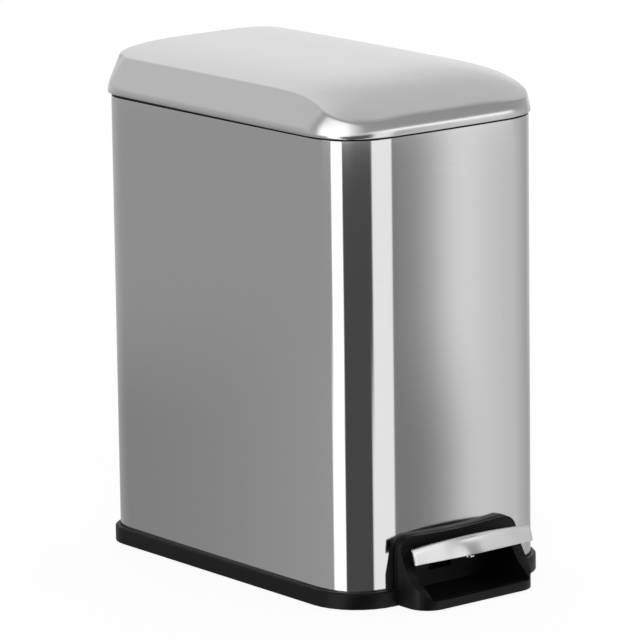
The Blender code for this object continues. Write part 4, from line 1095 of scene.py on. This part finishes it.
def floor_finish():
    """White: pure to the eye farther out, shaded near the bin, and clear to the shine."""
    made = Finish("white_floor")
    made.coat(Base_Color=(*(FLOOR_TONE,) * 3, 1), Roughness=FLOOR_ROUGHNESS)
    paint = made.shader.outputs[0]
    reach = made.node("ShaderNodeVectorMath", {0: made.place}, operation="LENGTH").outputs["Value"]
    fade = made.between(reach, *FLOOR_FADE, FLOOR_LIFT, 1.0, interpolation_type="SMOOTHSTEP")
    path = made.node("ShaderNodeLightPath").outputs
    lift = made.choose(fade, paint, made.node("ShaderNodeEmission").outputs[0])
    seen = made.choose(path["Is Camera Ray"], paint, lift)
    made.show(made.choose(path["Is Glossy Ray"], seen, made.node("ShaderNodeBsdfTransparent").outputs[0]))
    return made.material


def make_floor():
    """The floor that the bin stands on."""
    bm = bmesh.new()
    bmesh.ops.create_circle(bm, cap_ends=True, segments=64, radius=FLOOR_RADIUS)
    material = floor_finish()
    add_mesh("floor", bm, material)


AMBIENT = 0.55
WHITE = (1, 1, 1, 1)
# Lamps: name, place, size and watts
LAMPS = (
    ("key_softbox", (-1.2, -1.6, 1.8), 1.2, 22.0),
    ("top_softbox", (0.4, 0.3, 2.0), 1.4, 16.0),
)
LAMP_AIM = Vector((0, 0, 0.1))


def light_studio():
    """Even light on the bin, white behind it, and two soft lamps that the steel doesn't mirror."""
    world = bpy.data.worlds.new("studio")
    bpy.context.scene.world = world
    world.use_nodes = True
    made = Tree(world.node_tree)
    ambient = made.node("ShaderNodeBackground", {"Color": WHITE, "Strength": AMBIENT}).outputs[0]
    white = made.node("ShaderNodeBackground", {"Color": WHITE, "Strength": 1.0}).outputs[0]
    path = made.node("ShaderNodeLightPath").outputs
    shown = path["Is Camera Ray"]
    for kind in ("Is Glossy Ray", "Is Transmission Ray"):
        shown = made.math("MAXIMUM", shown, path[kind])
    made.feed(made.choose(shown, ambient, white), made.tree.nodes["World Output"].inputs["Surface"])
    for name, place, size, watts in LAMPS:
        data = bpy.data.lights.new(name, "AREA")
        data.energy = watts
        data.size = size
        lamp = bpy.data.objects.new(name, data)
        lamp.location = place
        lamp.rotation_euler = (LAMP_AIM - Vector(place)).to_track_quat("-Z", "Y").to_euler()
        lamp.visible_glossy = False
        bpy.context.scene.collection.objects.link(lamp)


def aim_camera():
    """The camera as it stood for the photograph."""
    data = bpy.data.cameras.new("camera")
    data.sensor_width = CAMERA_SENSOR
    data.lens = CAMERA_LENS
    data.clip_start = CAMERA_NEAR
    data.clip_end = CAMERA_FAR
    ahead = Vector((
        math.cos(CAMERA_FALL) * math.sin(CAMERA_TURN), math.cos(CAMERA_FALL) * math.cos(CAMERA_TURN),
        -math.sin(CAMERA_FALL),
    ))
    level = Vector((math.cos(CAMERA_TURN), -math.sin(CAMERA_TURN), 0))
    above = level.cross(ahead)
    right = level * math.cos(CAMERA_LEAN) + above * math.sin(CAMERA_LEAN)
    up = above * math.cos(CAMERA_LEAN) - level * math.sin(CAMERA_LEAN)
    aim = BIN_PLACE + Vector((0, 0, AIM_HEIGHT))
    camera = bpy.data.objects.new("camera", data)
    camera.matrix_world = Matrix((right, up, -ahead)).transposed().to_4x4()
    camera.location = aim - right * AIM_RIGHT - up * AIM_UP - ahead * CAMERA_DISTANCE
    bpy.context.scene.collection.objects.link(camera)
    bpy.context.scene.camera = camera


aim_camera()
dress_frame()
make_body_sheet()
make_liner(make_lid())
make_pedal_cover()
screw = screw_pattern()
fit_screws("floor_screws", screw, [f"floor_screw_{number}" for number in range(1, 5)], "body", UP)
fit_screws("bracket_screws", screw, ["bracket_screw_1", "bracket_screw_2"], "body", TO_REAR)
fit_screws("pedal_fixing", screw, ["pedal_screw"], "pedal", DOWN, PEDAL_SCREW_PROUD)
make_feet()
make_bail()
make_grip()
soften("base_moulding", "base_ring", "body", BASE_EDGE_ROUND)
make_drum()
make_floor()
light_studio()
bpy.context.scene.view_settings.view_transform = "Standard"

bpy.context.view_layer.update()
